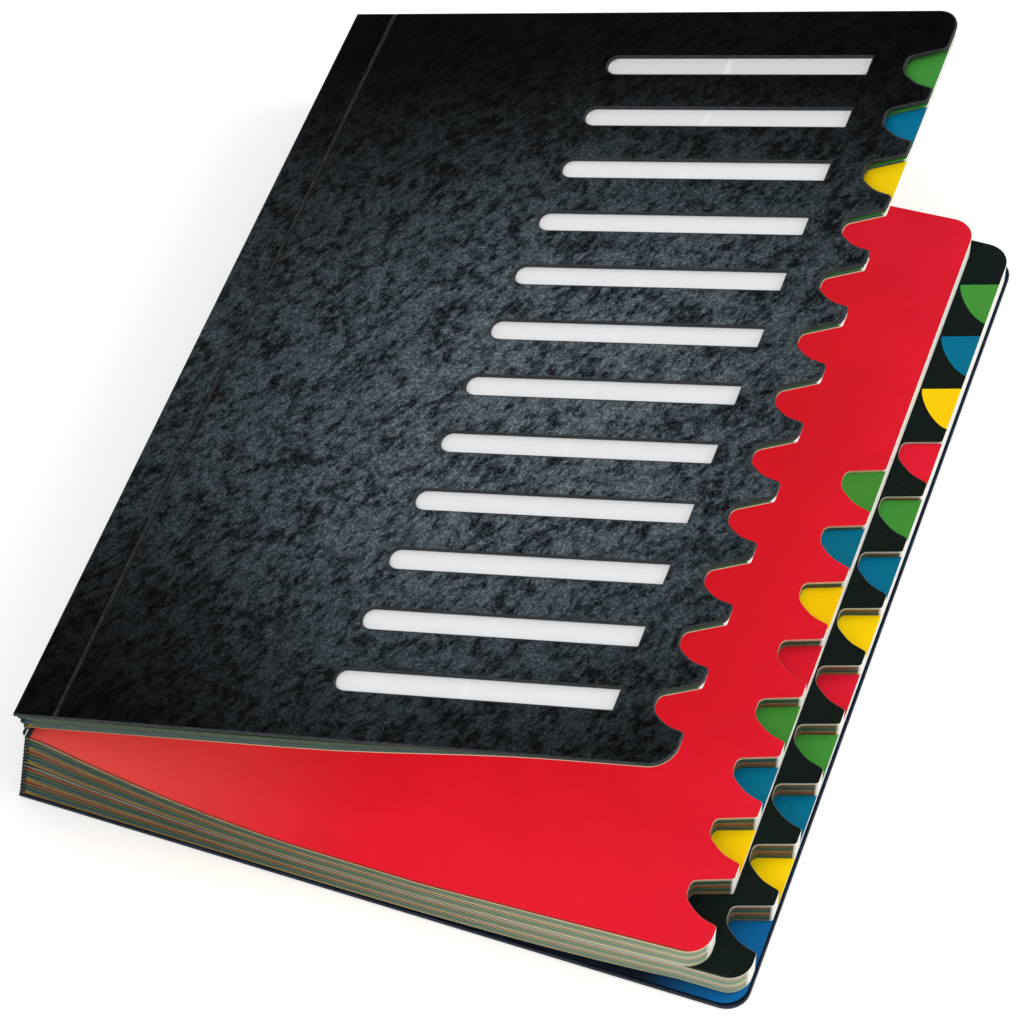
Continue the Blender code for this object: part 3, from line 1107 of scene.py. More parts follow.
@dataclass(frozen=True)
class Board:
    """A flat board of any outline, with holes, and rounded along every edge."""

    outline: Array
    holes: tuple[Array, ...] = ()
    thickness: float = 0.0012
    bevel: float = 0.0002
    bevel_steps: int = 3
    support: float = 0.0003

    def draw(self, shell: Shell, level: float) -> Shell:
        """Adds the closed board to a shell.

        Every edge line is carried inwards by the rim's profile, and the faces between the
        innermost lines are filled with triangles.

        Args:
            shell: the mesh to add it to.
            level: height of the board's underside.

        Returns:
            The same shell.
        """
        profile = rim_profile(self.thickness, self.bevel, self.bevel_steps)
        if self.support:
            inner = (-self.support, self.thickness)
            profile = np.vstack([inner, profile, (-self.support, 0.0)])
        tops, lows, borders = [], [], []
        for line in (self.outline, *self.holes):
            side = outward(line)
            inset = line - side * self.bevel
            borders.append(inset + side * profile[0, 0])
            rings = []
            for outset, height in profile:
                ring = inset + side * outset
                places = np.column_stack([ring, np.full(len(ring), level + height)])
                rings.append(shell.add_points(places, ring))
            stack = np.array(rings)
            shell.add_grid(np.column_stack([stack, stack[:, :1]]), 1, turned=True)
            tops.append(rings[0])
            lows.append(rings[-1])
        for numbers, turned in ((tops, False), (lows, True)):
            corners = np.concatenate(numbers)[filled_faces(borders)]
            shell.add_faces(corners[:, ::-1] if turned else corners, 0)
        return shell


def filled_faces(lines: Sequence[Array]) -> Array:
    """Fills the first closed line around the others with triangles.

    Args:
        lines: (x, y) points of each line.

    Returns:
        Each triangle's three numbers, counted through all the lines' points.
    """
    points = np.vstack(lines)
    segments = []
    base = 0
    for line in lines:
        numbers = np.arange(len(line)) + base
        segments += np.column_stack([numbers, np.roll(numbers, -1)]).tolist()
        base += len(line)
    verts = [Vector(point) for point in points]
    filled = delaunay_2d_cdt(verts, segments, [], 0, FILL_TOLERANCE)
    corners = np.array([face for face in filled[2] if len(face) == 3])
    source = np.array([origin[0] for origin in filled[3]])
    middle = np.array([filled[0][i] for i in range(len(filled[0]))])[corners].mean(axis=1)
    keep = inside_line(middle, lines[0])
    for hole in lines[1:]:
        keep &= ~inside_line(middle, hole)
    corners = source[corners[keep]]
    a, b, c = points[corners[:, 0]], points[corners[:, 1]], points[corners[:, 2]]
    area = (b[:, 0] - a[:, 0]) * (c[:, 1] - a[:, 1]) - (b[:, 1] - a[:, 1]) * (c[:, 0] - a[:, 0])
    return np.where(area[:, None] > 0, corners, corners[:, ::-1])


def inside_line(points: Array, line: Array) -> Array:
    """Finds what lies inside a closed line, by how often a ray to the right crosses it.

    Args:
        points: (x, y) of each point.
        line: (x, y) along the line.

    Returns:
        True for each point inside.
    """
    a, b = line, np.roll(line, -1, axis=0)
    x, y = points[:, :1], points[:, 1:]
    spans = (a[:, 1] > y) != (b[:, 1] > y)
    rise = np.where(b[:, 1] == a[:, 1], TINY, b[:, 1] - a[:, 1])
    cross = a[:, 0] + (y - a[:, 1]) * (b[:, 0] - a[:, 0]) / rise
    return (spans & (x < cross)).sum(axis=1) % 2 == 1


# The sorter


@dataclass(frozen=True)
class Spine:
    """Sizes that place the pleats and the sheets held in them."""

    cloth: float = 0.0003
    arm: float = 0.0055
    gap: float = 0.00035
    pitch: float = 0.0017
    lifted_pitch: float = 0.0026
    lean: float = 0.09
    web_run: float = 0.0026
    web_height: float = 0.0041
    foot: float = 0.0002
    board: float = 0.0012
    lining: float = 0.0003
    sheet_gap: float = 0.0003
    card: float = 0.00035
    inset: float = 0.001
    lower: int = 9
    middle: int = 8
    lifted: int = 3
    dip_end: float = 0.098
    dip_power: float = 1.8
    rise_start: float = 0.135
    rise_power: float = 1.1
    rise_step: float = 0.00046
    middle_reach: float = 0.2305
    foot_sag: float = 0.0030
    sag_step: float = 0.0015
    squeeze: float = 0.0019
    squeeze_step: float = 0.00025
    squeeze_start: float = 0.100
    squeeze_end: float = 0.195
    seam: float = 0.00014
    swell_run: float = 0.0012
    shown_arm: float = 0.0017
    foot_spread: float = 0.0040
    spread_end: float = 0.222
    spread_power: float = 5.0
    spread_depth: float = 0.036
    behind_floor: float = 0.0006
    bend_columns: int = 19
    level_columns: int = 3
    rise_columns: int = 12
    lower_top_tab: int = 3
    middle_top_tab: int = 4
    lifted_top_tab: int = 1

    @property
    def flat_end(self) -> float:
        """Finds where the leaves come out of their pleats.

        Returns:
            The X up to which they lie level.
        """
        lean = self.lean * self.pitch * (self.lower + self.middle)
        return max(lean, self.web_run) + self.arm + 2 * self.cloth

    @property
    def cover_level(self) -> float:
        """Finds the front cover's underside in its own drawing frame.

        Returns:
            Its height.
        """
        return self.web_height + self.lifted * self.lifted_pitch - self.gap + self.sheet_gap


SPINE = Spine()
COVER_WIDTH = 0.230


@dataclass(frozen=True)
class Leaf:
    """One divider leaf and its pleat, in the frame that it is drawn in."""

    number: int
    dye: Dye
    pleat_x: float
    pleat_level: float
    pleat_height: float
    rest_level: float
    rise: float
    sag: float
    squeeze: float
    spread: float
    reach: float
    first_cut: int
    below: "Leaf | None" = None

    def underside(self, x: Array, y: Array) -> Array:
        """Finds the underside's height: rest + (held - rest) * dip(x) + rise * lift(x) + hang(x, y).

        dip(x) = (1 - a) ** power, with a the share of the way from the pleat's mouth to the
        dip's end. lift(x) = b ** power, with b the share of the way from the rise's start to
        the fore-edge. hang = squeeze * s(x) * t(y) - sag * (1 - s(x)) * f(y) past the dip, where s
        grows from 0 to 1 between the squeeze's start and end, f from the head to the foot, and
        t is f grown to 1 by the middle of the leaf.

        Args:
            x: distances from the spine.
            y: places along the spine.

        Returns:
            The heights, in the array's own shape.
        """
        share = np.clip((x - SPINE.flat_end) / (SPINE.dip_end - SPINE.flat_end), 0.0, 1.0)
        dip = (1 - share) ** SPINE.dip_power
        risen = (x - SPINE.rise_start) / (self.reach - SPINE.rise_start)
        lift = np.maximum(risen, 0.0) ** SPINE.rise_power
        held = self.pleat_level + (self.pleat_height - SPINE.card) / 2
        foot = np.clip(0.5 - y / NOTCHES.cover_length, 0.0, 1.0)
        level = self.rest_level + (held - self.rest_level) * dip + self.rise * lift
        near = np.clip((x - SPINE.squeeze_start) / (SPINE.squeeze_end - SPINE.squeeze_start), 0.0, 1.0)
        near = near * near * (3 - 2 * near)
        hang = self.squeeze * near * np.minimum(2.0 * foot, 1.0) - self.sag * (1 - near) * foot
        return level + hang * (1 - dip)

    def swell(self, x: Array, y: Array) -> Array:
        """Thickens the card past its plain sheet, so that it rests on the one below.

        It fills what lies between its underside and the sheet below but for a seam, and grows
        to that from nothing over a short run past the cloth.

        Args:
            x: distances from the spine.
            y: places along the spine.

        Returns:
            The extra thickness, in the array's own shape.
        """
        if self.below is None:
            return np.zeros(x.shape)
        room = self.underside(x, y) - self.below.underside(x, y) - SPINE.card - SPINE.seam
        mouth = self.pleat_x + SPINE.shown_arm + SPINE.seam
        return np.maximum(room, 0.0) * np.clip((x - mouth) / SPINE.swell_run, 0.0, 1.0)

    def outset(self, x: Array, y: Array) -> Array:
        """Moves the foot edge out past the card's own by spread * (1 - a ** power) * near(y).

        a is the share of the way from the spine to the spread's end, and near(y) falls evenly
        from 1 at the foot to 0 at the spread's depth.

        Args:
            x: distances from the spine.
            y: places along the spine.

        Returns:
            The distances, in the array's own shape.
        """
        along = np.clip(x / SPINE.spread_end, 0.0, 1.0) ** SPINE.spread_power
        foot = SPINE.inset - NOTCHES.cover_length / 2
        near = np.clip((foot + SPINE.spread_depth - y) / SPINE.spread_depth, 0.0, 1.0)
        return self.spread * (1 - along) * near

    @property
    def body(self) -> str:
        """Names the model's body that the leaf belongs to.

        Returns:
            The body.
        """
        return f"leaf_{self.number:02d}"

    @property
    def wear(self) -> Wear:
        """Chooses the cut edge's colouring: paler and warmer on the top leaf of each group and the lowest
        lifted one, and dark all over with painted shade on the other lifted ones.

        Returns:
            The colouring of the cut edge.
        """
        block = SPINE.lower + SPINE.middle
        if self.number in (SPINE.lower, block, block + 1):
            return Wear.BARE
        return Wear.DEEP if self.number > block else Wear.DYED

    def columns(self) -> Array:
        """Places the grid's fixed columns, closer together where the leaf bends most.

        Returns:
            Their X.
        """
        start = self.pleat_x + SPINE.cloth + SPINE.sheet_gap
        bend = np.linspace(SPINE.flat_end, SPINE.dip_end, SPINE.bend_columns)
        floor = self.reach - NOTCHES.depth - SPINE.behind_floor
        beyond = np.linspace(SPINE.dip_end, SPINE.rise_start, SPINE.level_columns)[1:]
        rising = np.linspace(SPINE.rise_start, floor, SPINE.rise_columns)[1:]
        return np.concatenate([[start], bend, beyond, rising])


def leaves() -> list[Leaf]:
    """Lists every leaf from the back cover up, with the levels that its group gives it.

    Returns:
        The leaves.
    """
    order = (Dye.GREEN, Dye.BLUE, Dye.YELLOW, Dye.RED)
    block = SPINE.lower + SPINE.middle
    first_level = SPINE.board + SPINE.sheet_gap + SPINE.lining + SPINE.sheet_gap
    sheet = SPINE.card + SPINE.sheet_gap
    made = []
    for number in range(1, block + SPINE.lifted + 1):
        if number <= SPINE.lower:
            group_end, top_tab, reach = SPINE.lower, SPINE.lower_top_tab, LOWER_REACH
        elif number <= block:
            group_end, top_tab, reach = block, SPINE.middle_top_tab, SPINE.middle_reach
        else:
            group_end, top_tab = block + SPINE.lifted, SPINE.lifted_top_tab
            reach = SPINE.web_run + COVER_WIDTH - SPINE.inset
        above = group_end - number
        own_tab = top_tab + above
        dye = Dye.BLACK if number == SPINE.lower else order[(own_tab - 1) % len(order)]
        if number <= block:
            pleat_level = SPINE.board + SPINE.sheet_gap + (number - 1) * SPINE.pitch
            pleat_x, pleat_height = SPINE.lean * pleat_level, SPINE.pitch - SPINE.gap
            rest, rise = first_level + (number - 1) * sheet, number * SPINE.rise_step
            sag, squeeze = 0.0, 0.0
            spread = SPINE.foot_spread * (block - number) / (block - 1)
        else:
            pleat_level = SPINE.web_height + (number - block - 1) * SPINE.lifted_pitch
            pleat_x, pleat_height = SPINE.web_run, SPINE.lifted_pitch - SPINE.gap
            rest, rise, spread = POCKET.lowest - (above + 1) * sheet, 0.0, 0.0
            sag = SPINE.foot_sag - (number - block - 1) * SPINE.sag_step
            squeeze = SPINE.squeeze - (number - block - 1) * SPINE.squeeze_step
        below = made[-1] if made and number != block + 1 else None
        made.append(
            Leaf(
                number, dye, pleat_x, pleat_level, pleat_height, rest, rise, sag, squeeze, spread, reach,
                own_tab + 1, below,
            )
        )
    return made


@dataclass(frozen=True)
class Pocket:
    """The sheets behind the windows: a clear film, the label card and the pocket's back."""

    film: float = 0.00006
    label: float = 0.00014
    back: float = 0.00012
    gap: float = 0.00005
    lip: float = 0.006
    label_inset: float = 0.001
    modelled_depth: float = 0.00165

    @property
    def lowest(self) -> float:
        """Finds the level under the cover that the pocket takes as far as the leaves go.

        Returns:
            The level.
        """
        return SPINE.cover_level - self.modelled_depth

    @property
    def levels(self) -> tuple[float, float, float]:
        """Stacks the pocket's sheets under the cover.

        Returns:
            The undersides of the film, the label card and the back.
        """
        film = SPINE.cover_level - self.gap - self.film
        label = film - self.gap - self.label
        return film, label, label - self.gap - self.back


POCKET = Pocket()


@dataclass(frozen=True)
class Windows:
    """The label windows: a row of slots in the front cover, rounded at the end by the spine."""

    length: float = 0.0967
    height: float = 0.0084
    from_edge: float = 0.0255
    lift: float = 0.0004
    upper_round: float = 0.0030
    lower_round: float = 0.0050
    square_round: float = 0.0003

    @property
    def left(self) -> float:
        """Finds the windows' rounded ends.

        Returns:
            Their X.
        """
        return SPINE.web_run + COVER_WIDTH - self.from_edge - self.length

    def outline(self, tab: int) -> Array:
        """Draws the closed line round one window, with the clock, so that the board lies to its left.

        Args:
            tab: the window's number, from the head.

        Returns:
            (x, y) points.
        """
        top = NOTCHES.top(tab) + self.lift
        left, right, low = self.left, self.left + self.length, top - self.height
        corners = ((left, low, self.lower_round), (right, low, self.square_round))
        corners += ((right, top, self.square_round), (left, top, self.upper_round))
        return rounded(corners)[::-1]


def rounded(corners: Sequence[Corner], steps: int = 6) -> Array:
    """Draws a closed line with rounded right-angled corners.

    Args:
        corners: (x, y, radius) of each, against the clock.
        steps: chords in each corner's arc.

    Returns:
        (x, y) points against the clock.
    """
    points = []
    count = len(corners)
    for index, (x, y, radius) in enumerate(corners):
        corner = np.array((x, y))
        back = np.array(corners[index - 1][:2]) - corner
        ahead = np.array(corners[(index + 1) % count][:2]) - corner
        back, ahead = back / np.linalg.norm(back), ahead / np.linalg.norm(ahead)
        if radius == 0.0:
            points.append(corner[None])
            continue
        turn = np.linspace(0.0, math.pi / 2, steps + 1)[:, None]
        points.append(corner + radius * (back * (1 - np.sin(turn)) + ahead * (1 - np.cos(turn))))
    return np.vstack(points)


def plate(left: float, right: float, foot: float, head: float, corner: float = 0.0) -> Array:
    """Draws a rectangle's closed line, with its two corners away from the spine rounded.

    Args:
        left: X of its side by the spine.
        right: X of its other side.
        foot: its lowest Y.
        head: its highest Y.
        corner: radius of the rounded corners.

    Returns:
        (x, y) points.
    """
    return rounded(((left, foot, 0.0), (right, foot, corner), (right, head, corner), (left, head, 0.0)))


@dataclass
class Paints:
    """The materials that the pieces share."""

    cards: dict[Dye, bpy.types.Material]
    cores: dict[tuple[Dye, Wear], bpy.types.Material]
    marked: bpy.types.Material
    cover: bpy.types.Material
    cover_core: bpy.types.Material
    back: bpy.types.Material
    back_core: bpy.types.Material
    cloth: bpy.types.Material
    lining: bpy.types.Material
    label: bpy.types.Material
    film: bpy.types.Material
    pocket: bpy.types.Material

    @classmethod
    def mixed(cls) -> "Paints":
        """Mixes every material.

        Returns:
            The paints.
        """
        # Every cut-edge colouring that a leaf uses, each with its painted shade.
        worn = {(leaf.dye, leaf.wear) for leaf in leaves()}
        return cls(
            cards={dye: DyedCard(dye).material() for dye in Dye},
            cores={key: CardCore(*key).material() for key in sorted(worn, key=str)},
            marked=DyedCard(Dye.BLACK, (Dye.GREEN, Dye.BLUE, Dye.YELLOW), spine_sheen=0.0).material(),
            # The front cover takes painted shade towards its borders and in the grooves of its score.
            cover=Pressboard(
                "black_pressboard_mottled", dark=(0.0030, 0.0034, 0.0050),
                middle=(0.061, 0.080, 0.094), pale=(0.190, 0.245, 0.270),
                scores=FrontCover.groove_lines(), depth=PaintedBorderShade(),
                clouds=Noise(85.0, 4.0, 0.62), cloudy=0.38, gloss=0.02,
            ).material(),
            cover_core=BoardCore(
                "black_pressboard_core", colour=(0.004, 0.005, 0.006), fibre=(0.035, 0.04, 0.04)
            ).material(),
            back=Pressboard(
                "navy_pressboard_mottled", dark=(0.0010, 0.0020, 0.0050),
                middle=(0.0030, 0.0070, 0.0170), pale=(0.010, 0.022, 0.045),
            ).material(),
            back_core=BoardCore(
                "navy_pressboard_core", colour=(0.0015, 0.004, 0.010), fibre=(0.010, 0.026, 0.055)
            ).material(),
            cloth=BindingCloth().material(),
            # The lining takes painted shade along its foot, under the leaves.
            lining=PlainPaper(
                "blue_paper_laid", colour=(0.001, 0.122, 0.350), lap=(0.0015, 0.004, 0.012)
            ).material(),
            label=LabelPrint(Windows()).material(),
            film=ClearFilm().material(),
            pocket=PlainPaper(
                "grey_paper_plain", colour=(0.25, 0.26, 0.26), roughness=0.7
            ).material(),
        )


@dataclass
class Places:
    """The drawing frames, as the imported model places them."""

    block: Pose
    lifted: Pose
    lift: float = math.radians(20.6)

    @classmethod
    def read(cls) -> "Places":
        """Reads the spine's place and the lifted fold's from the model.

        Returns:
            The places.
        """
        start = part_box("back_cover")[0]
        fold = next(joint for joint in frame["joints"] if joint["child"] == "leaf_18")
        x, _, z = fold["pos_m"]
        y = start.y + NOTCHES.cover_length / 2 + BackCover.foot_overhang
        return cls(Pose(start.x, start.z, y=y), Pose(x, z, cls.lift, y))


@dataclass
class DividerBlock:
    """The twenty divider leaves and the pleats that hold them.

    The web under the lowest lifted pleat rises from the fold by web_control before it bends, and
    meets the pleat at hip_share of its bend's radius.
    """

    places: Places
    paints: Paints
    arc_steps: int = 10
    arm_columns: int = 5
    web_control: float = 0.0022
    web_steps: int = 8
    hip_share: float = 0.3

    def build(self) -> list[bpy.types.Object]:
        """Draws every leaf and every pleat.

        Returns:
            The pieces.
        """
        made = []
        block = SPINE.lower + SPINE.middle
        for leaf in leaves():
            pose = self.places.lifted if leaf.number > block else self.places.block
            made += [self.card(leaf, pose), self.pleat(leaf, pose, leaf.number == block + 1)]
        return made

    def card(self, leaf: Leaf, pose: Pose) -> bpy.types.Object:
        """Draws one leaf's card, cut along its fore-edge.

        Args:
            leaf: the leaf.
            pose: the drawing frame.

        Returns:
            The piece.
        """
        half = NOTCHES.cover_length / 2 - SPINE.inset
        columns = leaf.columns()
        edge = NOTCHES.edge(leaf.reach, half, leaf.first_cut, NOTCHES.leaf_tip)
        sheet = Sheet(columns[0], edge, columns, SPINE.card)
        face = self.paints.marked if leaf.number == SPINE.lower else self.paints.cards[leaf.dye]
        core = self.paints.cores[leaf.dye, leaf.wear]
        made = sheet.shell(leaf.underside, leaf.outset, leaf.swell).piece(
            f"leaf_card_{leaf.number:02d}", pose, (face, core), (leaf.reach, -half)
        )
        return settle(made, leaf.body, f"divider_leaf_{leaf.number:02d}", leaf.dye.slot)

    def pleat(self, leaf: Leaf, pose: Pose, on_web: bool) -> bpy.types.Object:
        """Folds the cloth round one leaf's edge: a U whose bend is half a circle.

        The line of the cloth's middle is carried along the spine with half the cloth's thickness
        on each side. The lowest lifted pleat stands on a web from the fold below.

        Args:
            leaf: the leaf that it holds.
            pose: the drawing frame.
            on_web: whether it stands on the web.

        Returns:
            The piece.
        """
        shell = Shell()
        half_cloth = SPINE.cloth / 2
        low, high = leaf.pleat_level, leaf.pleat_level + leaf.pleat_height
        radius = leaf.pleat_height / 2 - half_cloth
        centre = np.array((leaf.pleat_x + half_cloth + radius, (low + high) / 2))
        turn = np.linspace(1.5 * math.pi, 0.5 * math.pi, self.arc_steps + 1)
        bend = centre + radius * np.column_stack([np.cos(turn), np.sin(turn)])
        mouth = leaf.pleat_x + SPINE.shown_arm
        arm = np.linspace(mouth, centre[0], self.arm_columns)[:-1]
        under = np.column_stack([arm, np.full(len(arm), low + half_cloth)])
        over = np.column_stack([arm[::-1], np.full(len(arm), high - half_cloth)])
        self.cloth_strip(shell, np.vstack([under, bend, over]), leaf.spread)
        if on_web:
            foot = np.array((SPINE.foot + half_cloth, SPINE.foot + half_cloth))
            hip = np.array((leaf.pleat_x + half_cloth + radius * self.hip_share, low + half_cloth))
            control = (foot[0], foot[1] + self.web_control)
            self.cloth_strip(shell, parabola(foot, control, hip, self.web_steps))
        made = shell.piece(f"pleat_cloth_{leaf.number:02d}", pose, (self.paints.cloth,))
        return settle(made, leaf.body, f"spine_pleat_{leaf.number:02d}", "black_cloth")

    def cloth_strip(self, shell: Shell, line: Array, spread: float = 0.0, rows: int = 33) -> None:
        """Carries a line of (x, z) points along the spine as cloth of the real thickness.

        Args:
            shell: the mesh to add it to.
            line: the middle of the cloth, seen from the foot.
            spread: how far its foot end reaches out.
            rows: places along the spine.
        """
        half = NOTCHES.cover_length / 2 - SPINE.inset
        ahead = np.gradient(line, axis=0)
        ahead /= np.linalg.norm(ahead, axis=1, keepdims=True)
        side = np.column_stack([ahead[:, 1], -ahead[:, 0]]) * SPINE.cloth / 2
        loop = np.vstack([line + side, (line - side)[::-1]])
        gone = np.concatenate([[0.0], np.cumsum(np.linalg.norm(np.diff(line, axis=0), axis=1))])
        gone = np.concatenate([gone, gone[::-1]])
        ys = np.linspace(-half - spread, half, rows)
        numbers = []
        for y in ys:
            ring = np.column_stack([loop[:, 0], np.full(len(loop), y), loop[:, 1]])
            numbers.append(shell.add_points(ring, np.column_stack([gone, np.full(len(gone), y)])))
        grid = np.array(numbers)
        shell.add_grid(np.column_stack([grid, grid[:, :1]]), 0)
        count = len(line)
        pairs = np.column_stack([np.arange(count), np.arange(2 * count - 1, count - 1, -1)])
        for end, turned in ((grid[0], False), (grid[-1], True)):
            shell.add_grid(end[pairs], 0, turned)


@dataclass
class BackCover:
    """The back cover and the blue sheet that lines it."""

    places: Places
    paints: Paints
    width: float = 0.245
    foot_overhang: float = 0.0034
    head_overhang: float = 0.0024

    def build(self) -> list[bpy.types.Object]:
        """Draws both.

        Returns:
            The pieces.
        """
        foot = -NOTCHES.cover_length / 2 - self.foot_overhang
        head = NOTCHES.cover_length / 2 + self.head_overhang
        board = Board(plate(0.0, self.width, foot, head, NOTCHES.corner), thickness=SPINE.board)
        cover = board.draw(Shell(), 0.0).piece(
            "back_board", self.places.block, (self.paints.back, self.paints.back_core)
        )
        inset = SPINE.inset
        paper = Board(
            plate(SPINE.flat_end, self.width - inset, foot + inset, head - inset, NOTCHES.corner),
            thickness=SPINE.lining, bevel=0.00005, bevel_steps=1,
        )
        lining = paper.draw(Shell(), SPINE.board + SPINE.sheet_gap).piece(
            "lining_sheet", self.places.block, (self.paints.lining, self.paints.lining)
        )
        return [
            settle(cover, "base", "back_cover", "navy_pressboard"),
            settle(lining, "base", "back_lining", "blue_paper"),
        ]


@dataclass
class FrontCover:
    """The front cover on both sides of its score, and the label pocket behind its windows.

    score_web is the pressed web's underside and its thickness. The web starts web_start inside
    the strip, bridges web_share of the gap and ends web_inset short of the head and the foot.
    """

    places: Places
    paints: Paints
    windows: Windows = field(default_factory=Windows)
    crease: float = 0.0155
    crease_gap: float = 0.0004
    groove_offsets: tuple[float, float] = (-0.0011, 0.0010)
    score_web: tuple[float, float] = (0.00030, 0.00045)
    web_start: float = 0.0006
    web_share: float = 0.8
    web_inset: float = 0.0002

    @classmethod
    def groove_lines(cls) -> tuple[float, ...]:
        """Places the shallow grooves pressed on both sides of the score.

        Returns:
            Their X.
        """
        score = SPINE.web_run + cls.crease
        return tuple(score + offset for offset in cls.groove_offsets)

    def build(self) -> list[bpy.types.Object]:
        """Draws the strip, the panel and the three sheets of the pocket.

        Returns:
            The pieces.
        """
        return [self.strip(), self.panel(), *self.pocket()]

    def strip(self) -> bpy.types.Object:
        """Draws the strip glued to the spine, with the web of pressed fibre that bridges the score.

        Returns:
            The piece.
        """
        half = NOTCHES.cover_length / 2
        right = SPINE.web_run + self.crease - self.crease_gap / 2
        strip = Board(plate(SPINE.web_run, right, -half, half), thickness=SPINE.board)
        shell = strip.draw(Shell(), SPINE.cover_level)
        low, thickness = self.score_web
        far, reach = right + self.web_share * self.crease_gap, half - self.web_inset
        web = Board(
            plate(right - self.web_start, far, -reach, reach),
            thickness=thickness, bevel=0.00004, bevel_steps=1, support=0.0,
        )
        web.draw(shell, SPINE.cover_level + low)
        paints = (self.paints.cover, self.paints.cover_core)
        made = shell.piece("front_board_strip", self.places.lifted, paints)
        return settle(made, "leaf_20", "front_cover_strip", "black_pressboard")

    def panel(self) -> bpy.types.Object:
        """Draws the turning panel, with its notches and its windows.

        Returns:
            The piece.
        """
        half = NOTCHES.cover_length / 2
        left = SPINE.web_run + self.crease + self.crease_gap / 2
        edge = NOTCHES.edge(SPINE.web_run + COVER_WIDTH, half, 1, NOTCHES.cover_tip)
        outline = np.vstack([[left, -half], edge, [left, half]])
        holes = tuple(self.windows.outline(tab) for tab in range(1, NOTCHES.count + 1))
        shell = Board(outline, holes, SPINE.board).draw(Shell(), SPINE.cover_level)
        paints = (self.paints.cover, self.paints.cover_core)
        made = shell.piece("front_board_panel", self.places.lifted, paints)
        return settle(made, "front_cover", "front_cover", "black_pressboard")

    def pocket(self) -> list[bpy.types.Object]:
        """Draws the film, the label card and the pocket's back, close under the panel.

        Returns:
            The pieces.
        """
        film, label, back = POCKET.levels
        left, right = self.windows.left - POCKET.lip, self.windows.left + self.windows.length + POCKET.lip
        half = NOTCHES.cover_length / 2 - SPINE.inset
        inset = POCKET.label_inset
        sheets = (
            ("film_sheet", left, right, half, film, POCKET.film,
             self.paints.film, "window_film", "clear_film"),
            ("label_sheet", left + inset, right - inset, half - inset, label, POCKET.label,
             self.paints.label, "label_card", "white_card"),
            ("pocket_sheet", left, right, half, back, POCKET.back, self.paints.pocket,
             "label_pocket_back", "grey_paper"),
        )
        made = []
        for name, start, end, reach, level, thickness, paint, node, slot in sheets:
            board = Board(
                plate(start, end, -reach, reach), thickness=thickness, bevel=thickness / 4, bevel_steps=1
            )
            piece = board.draw(Shell(), level).piece(name, self.places.lifted, (paint, paint))
            made.append(settle(piece, "front_cover", node, slot))
        return made


def settle(piece: bpy.types.Object, body: str, node: str, slot: str) -> bpy.types.Object:
    """Hangs a piece on its body in the place of a node of the model.

    Args:
        piece: the finished piece.
        body: the body that it moves with.
        node: the node that it stands for.
        slot: the record's material slot, not used.

    Returns:
        The piece.
    """
    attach(piece, body)
    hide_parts(node)
    return piece


# The studio


@dataclass(frozen=True)
class Lamp:
    """A square soft lamp: where it hangs, where it points, its side and its power."""

    name: str
    at: tuple[float, float, float]
    side: float
    power: float
    aim: tuple[float, float, float] = (0.0, 0.0, 0.02)

    def hang(self) -> None:
        """Adds the lamp."""
        light = bpy.data.lights.new(self.name, "AREA")
        light.shape, light.size, light.energy = "SQUARE", self.side, self.power
        made = bpy.data.objects.new(self.name, light)
        made.location = self.at
        made.rotation_mode = "QUATERNION"
        made.rotation_quaternion = (Vector(self.aim) - Vector(self.at)).to_track_quat("-Z", "Y")
        bpy.context.scene.collection.objects.link(made)


@dataclass(frozen=True)
class Camera:
    """The photograph's camera: its place, its three turns and its focal length in pixels."""

    at: tuple[float, float, float] = (0.275607, -0.845513, 1.235446)
    yaw: float = -0.3251
    pitch: float = 0.9455
    roll: float = 0.0103
    focal: float = 4506.77
    picture: float = 1024.0
    sensor: float = 36.0
    clip: tuple[float, float] = (0.05, 50.0)

    def place(self) -> None:
        """Adds the camera and makes it the scene's own."""
        cos_pitch = math.cos(self.pitch)
        sin_yaw, cos_yaw = math.sin(self.yaw), math.cos(self.yaw)
        ahead = Vector((sin_yaw * cos_pitch, cos_yaw * cos_pitch, -math.sin(self.pitch)))
        right = Vector((cos_yaw, -sin_yaw, 0.0))
        up = right.cross(ahead)
        across = math.cos(self.roll) * right + math.sin(self.roll) * up
        upward = math.cos(self.roll) * up - math.sin(self.roll) * right
        lens = bpy.data.cameras.new("photo_camera")
        lens.sensor_width = self.sensor
        lens.lens = self.focal / self.picture * self.sensor
        lens.clip_start, lens.clip_end = self.clip
        made = bpy.data.objects.new("photo_camera", lens)
        turn = Matrix((across, upward, -ahead)).transposed()
        made.matrix_world = Matrix.Translation(self.at) @ turn.to_4x4()
        bpy.context.scene.collection.objects.link(made)
        bpy.context.scene.camera = made


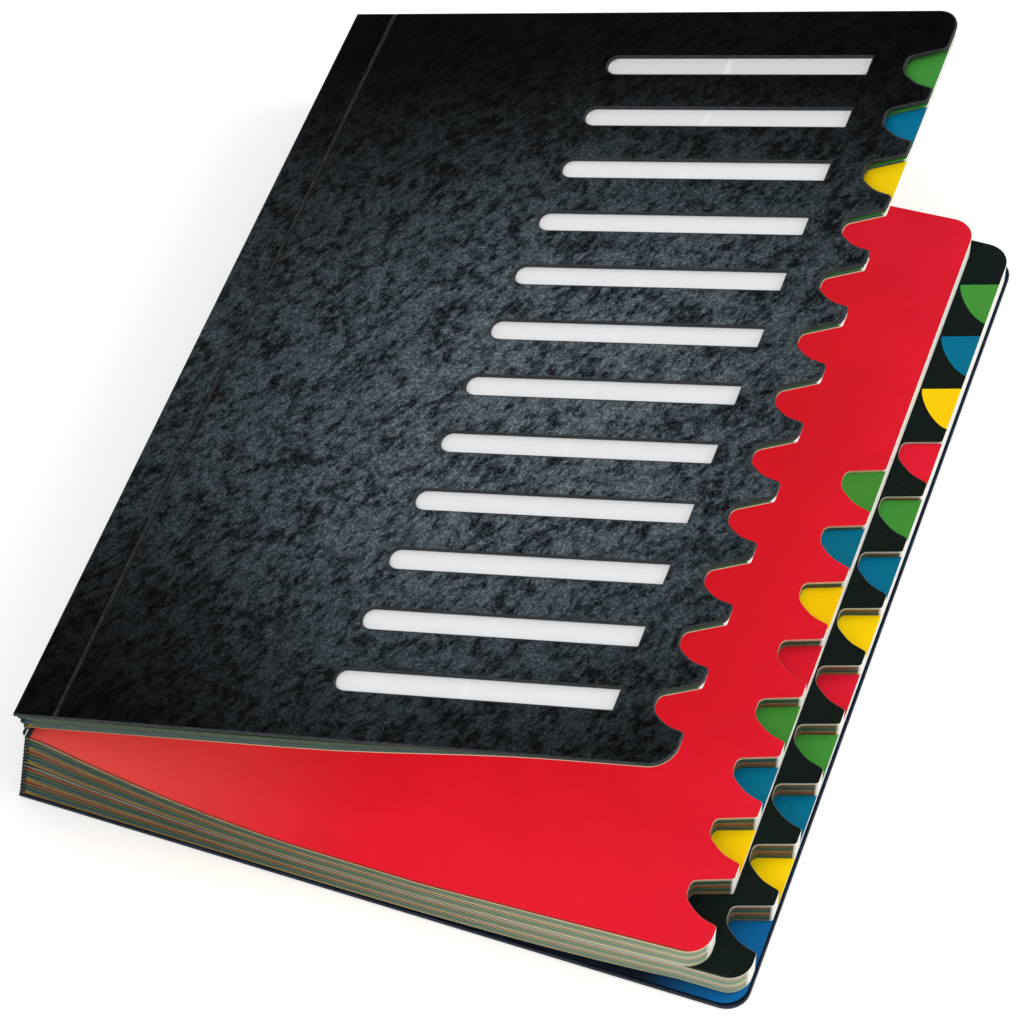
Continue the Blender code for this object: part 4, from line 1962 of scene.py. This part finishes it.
@dataclass(frozen=True)
class Studio:
    """A pale floor, a white surround and soft lamps at a plain level."""

    floor_half: float = 3.0
    floor_drop: float = 0.0002
    surround: float = 0.58
    floor_glow: float = 0.22
    floor_shades: tuple[Colour, Colour] = ((0.95, 0.95, 0.95), (0.97, 0.97, 0.97))
    tooth: Noise = Noise(240.0, 4.0, 0.6)
    lamps: tuple[Lamp, ...] = (
        Lamp("key_lamp", (-0.35, -1.75, 2.60), 2.2, 37.0),
        Lamp("side_lamp", (1.6, 0.55, 1.15), 1.3, 20.0),
    )

    def build(self) -> None:
        """Lays the floor, lights the room and places the camera."""
        self.floor()
        self.room()
        for lamp in self.lamps:
            lamp.hang()
        Camera().place()
        bpy.context.scene.view_settings.view_transform = "Standard"

    def floor(self) -> None:
        """A square floor just under the sorter, a shade off white with a fine tooth."""
        half, level = self.floor_half, -self.floor_drop
        corners = [(-half, -half, level), (half, -half, level), (half, half, level), (-half, half, level)]
        mesh = bpy.data.meshes.new("studio_floor")
        mesh.from_pydata(corners, [], [(0, 1, 2, 3)])
        desk = NodeDesk("studio_floor_paper")
        colour = desk.mix(desk.noise(desk.place(), self.tooth), *self.floor_shades)
        seen = desk.math("MULTIPLY", desk.add("LightPath").outputs["Is Camera Ray"], self.floor_glow)
        mesh.materials.append(
            desk.finish(
                Base_Color=colour, Roughness=0.9, Specular_IOR_Level=0.1,
                Emission_Color=(1.0, 1.0, 1.0), Emission_Strength=seen,
            )
        )
        floor = bpy.data.objects.new("studio_floor", mesh)
        bpy.context.scene.collection.objects.link(floor)

    def room(self) -> None:
        """A surround that lights evenly and shows white behind everything."""
        world = bpy.data.worlds.new("studio_surround")
        world.use_nodes = True
        tree = world.node_tree
        background = tree.nodes["Background"]
        seen = tree.nodes.new("ShaderNodeLightPath").outputs["Is Camera Ray"]
        level = tree.nodes.new("ShaderNodeMapRange")
        level.inputs["To Min"].default_value = self.surround
        level.inputs["To Max"].default_value = 1.0
        tree.links.new(seen, level.inputs["Value"])
        tree.links.new(level.outputs["Result"], background.inputs["Strength"])
        background.inputs["Color"].default_value = (1.0, 1.0, 1.0, 1.0)
        bpy.context.scene.world = world


def main() -> None:
    """Builds the sorter and its studio."""
    logging.basicConfig(level=logging.INFO, format="%(message)s")
    paints, places = Paints.mixed(), Places.read()
    for assembly in (BackCover(places, paints), DividerBlock(places, paints), FrontCover(places, paints)):
        for piece in assembly.build():
            LOG.info("%s: %d faces", piece.name, len(piece.data.polygons))
    Studio().build()


if __name__ == "__main__":
    main()
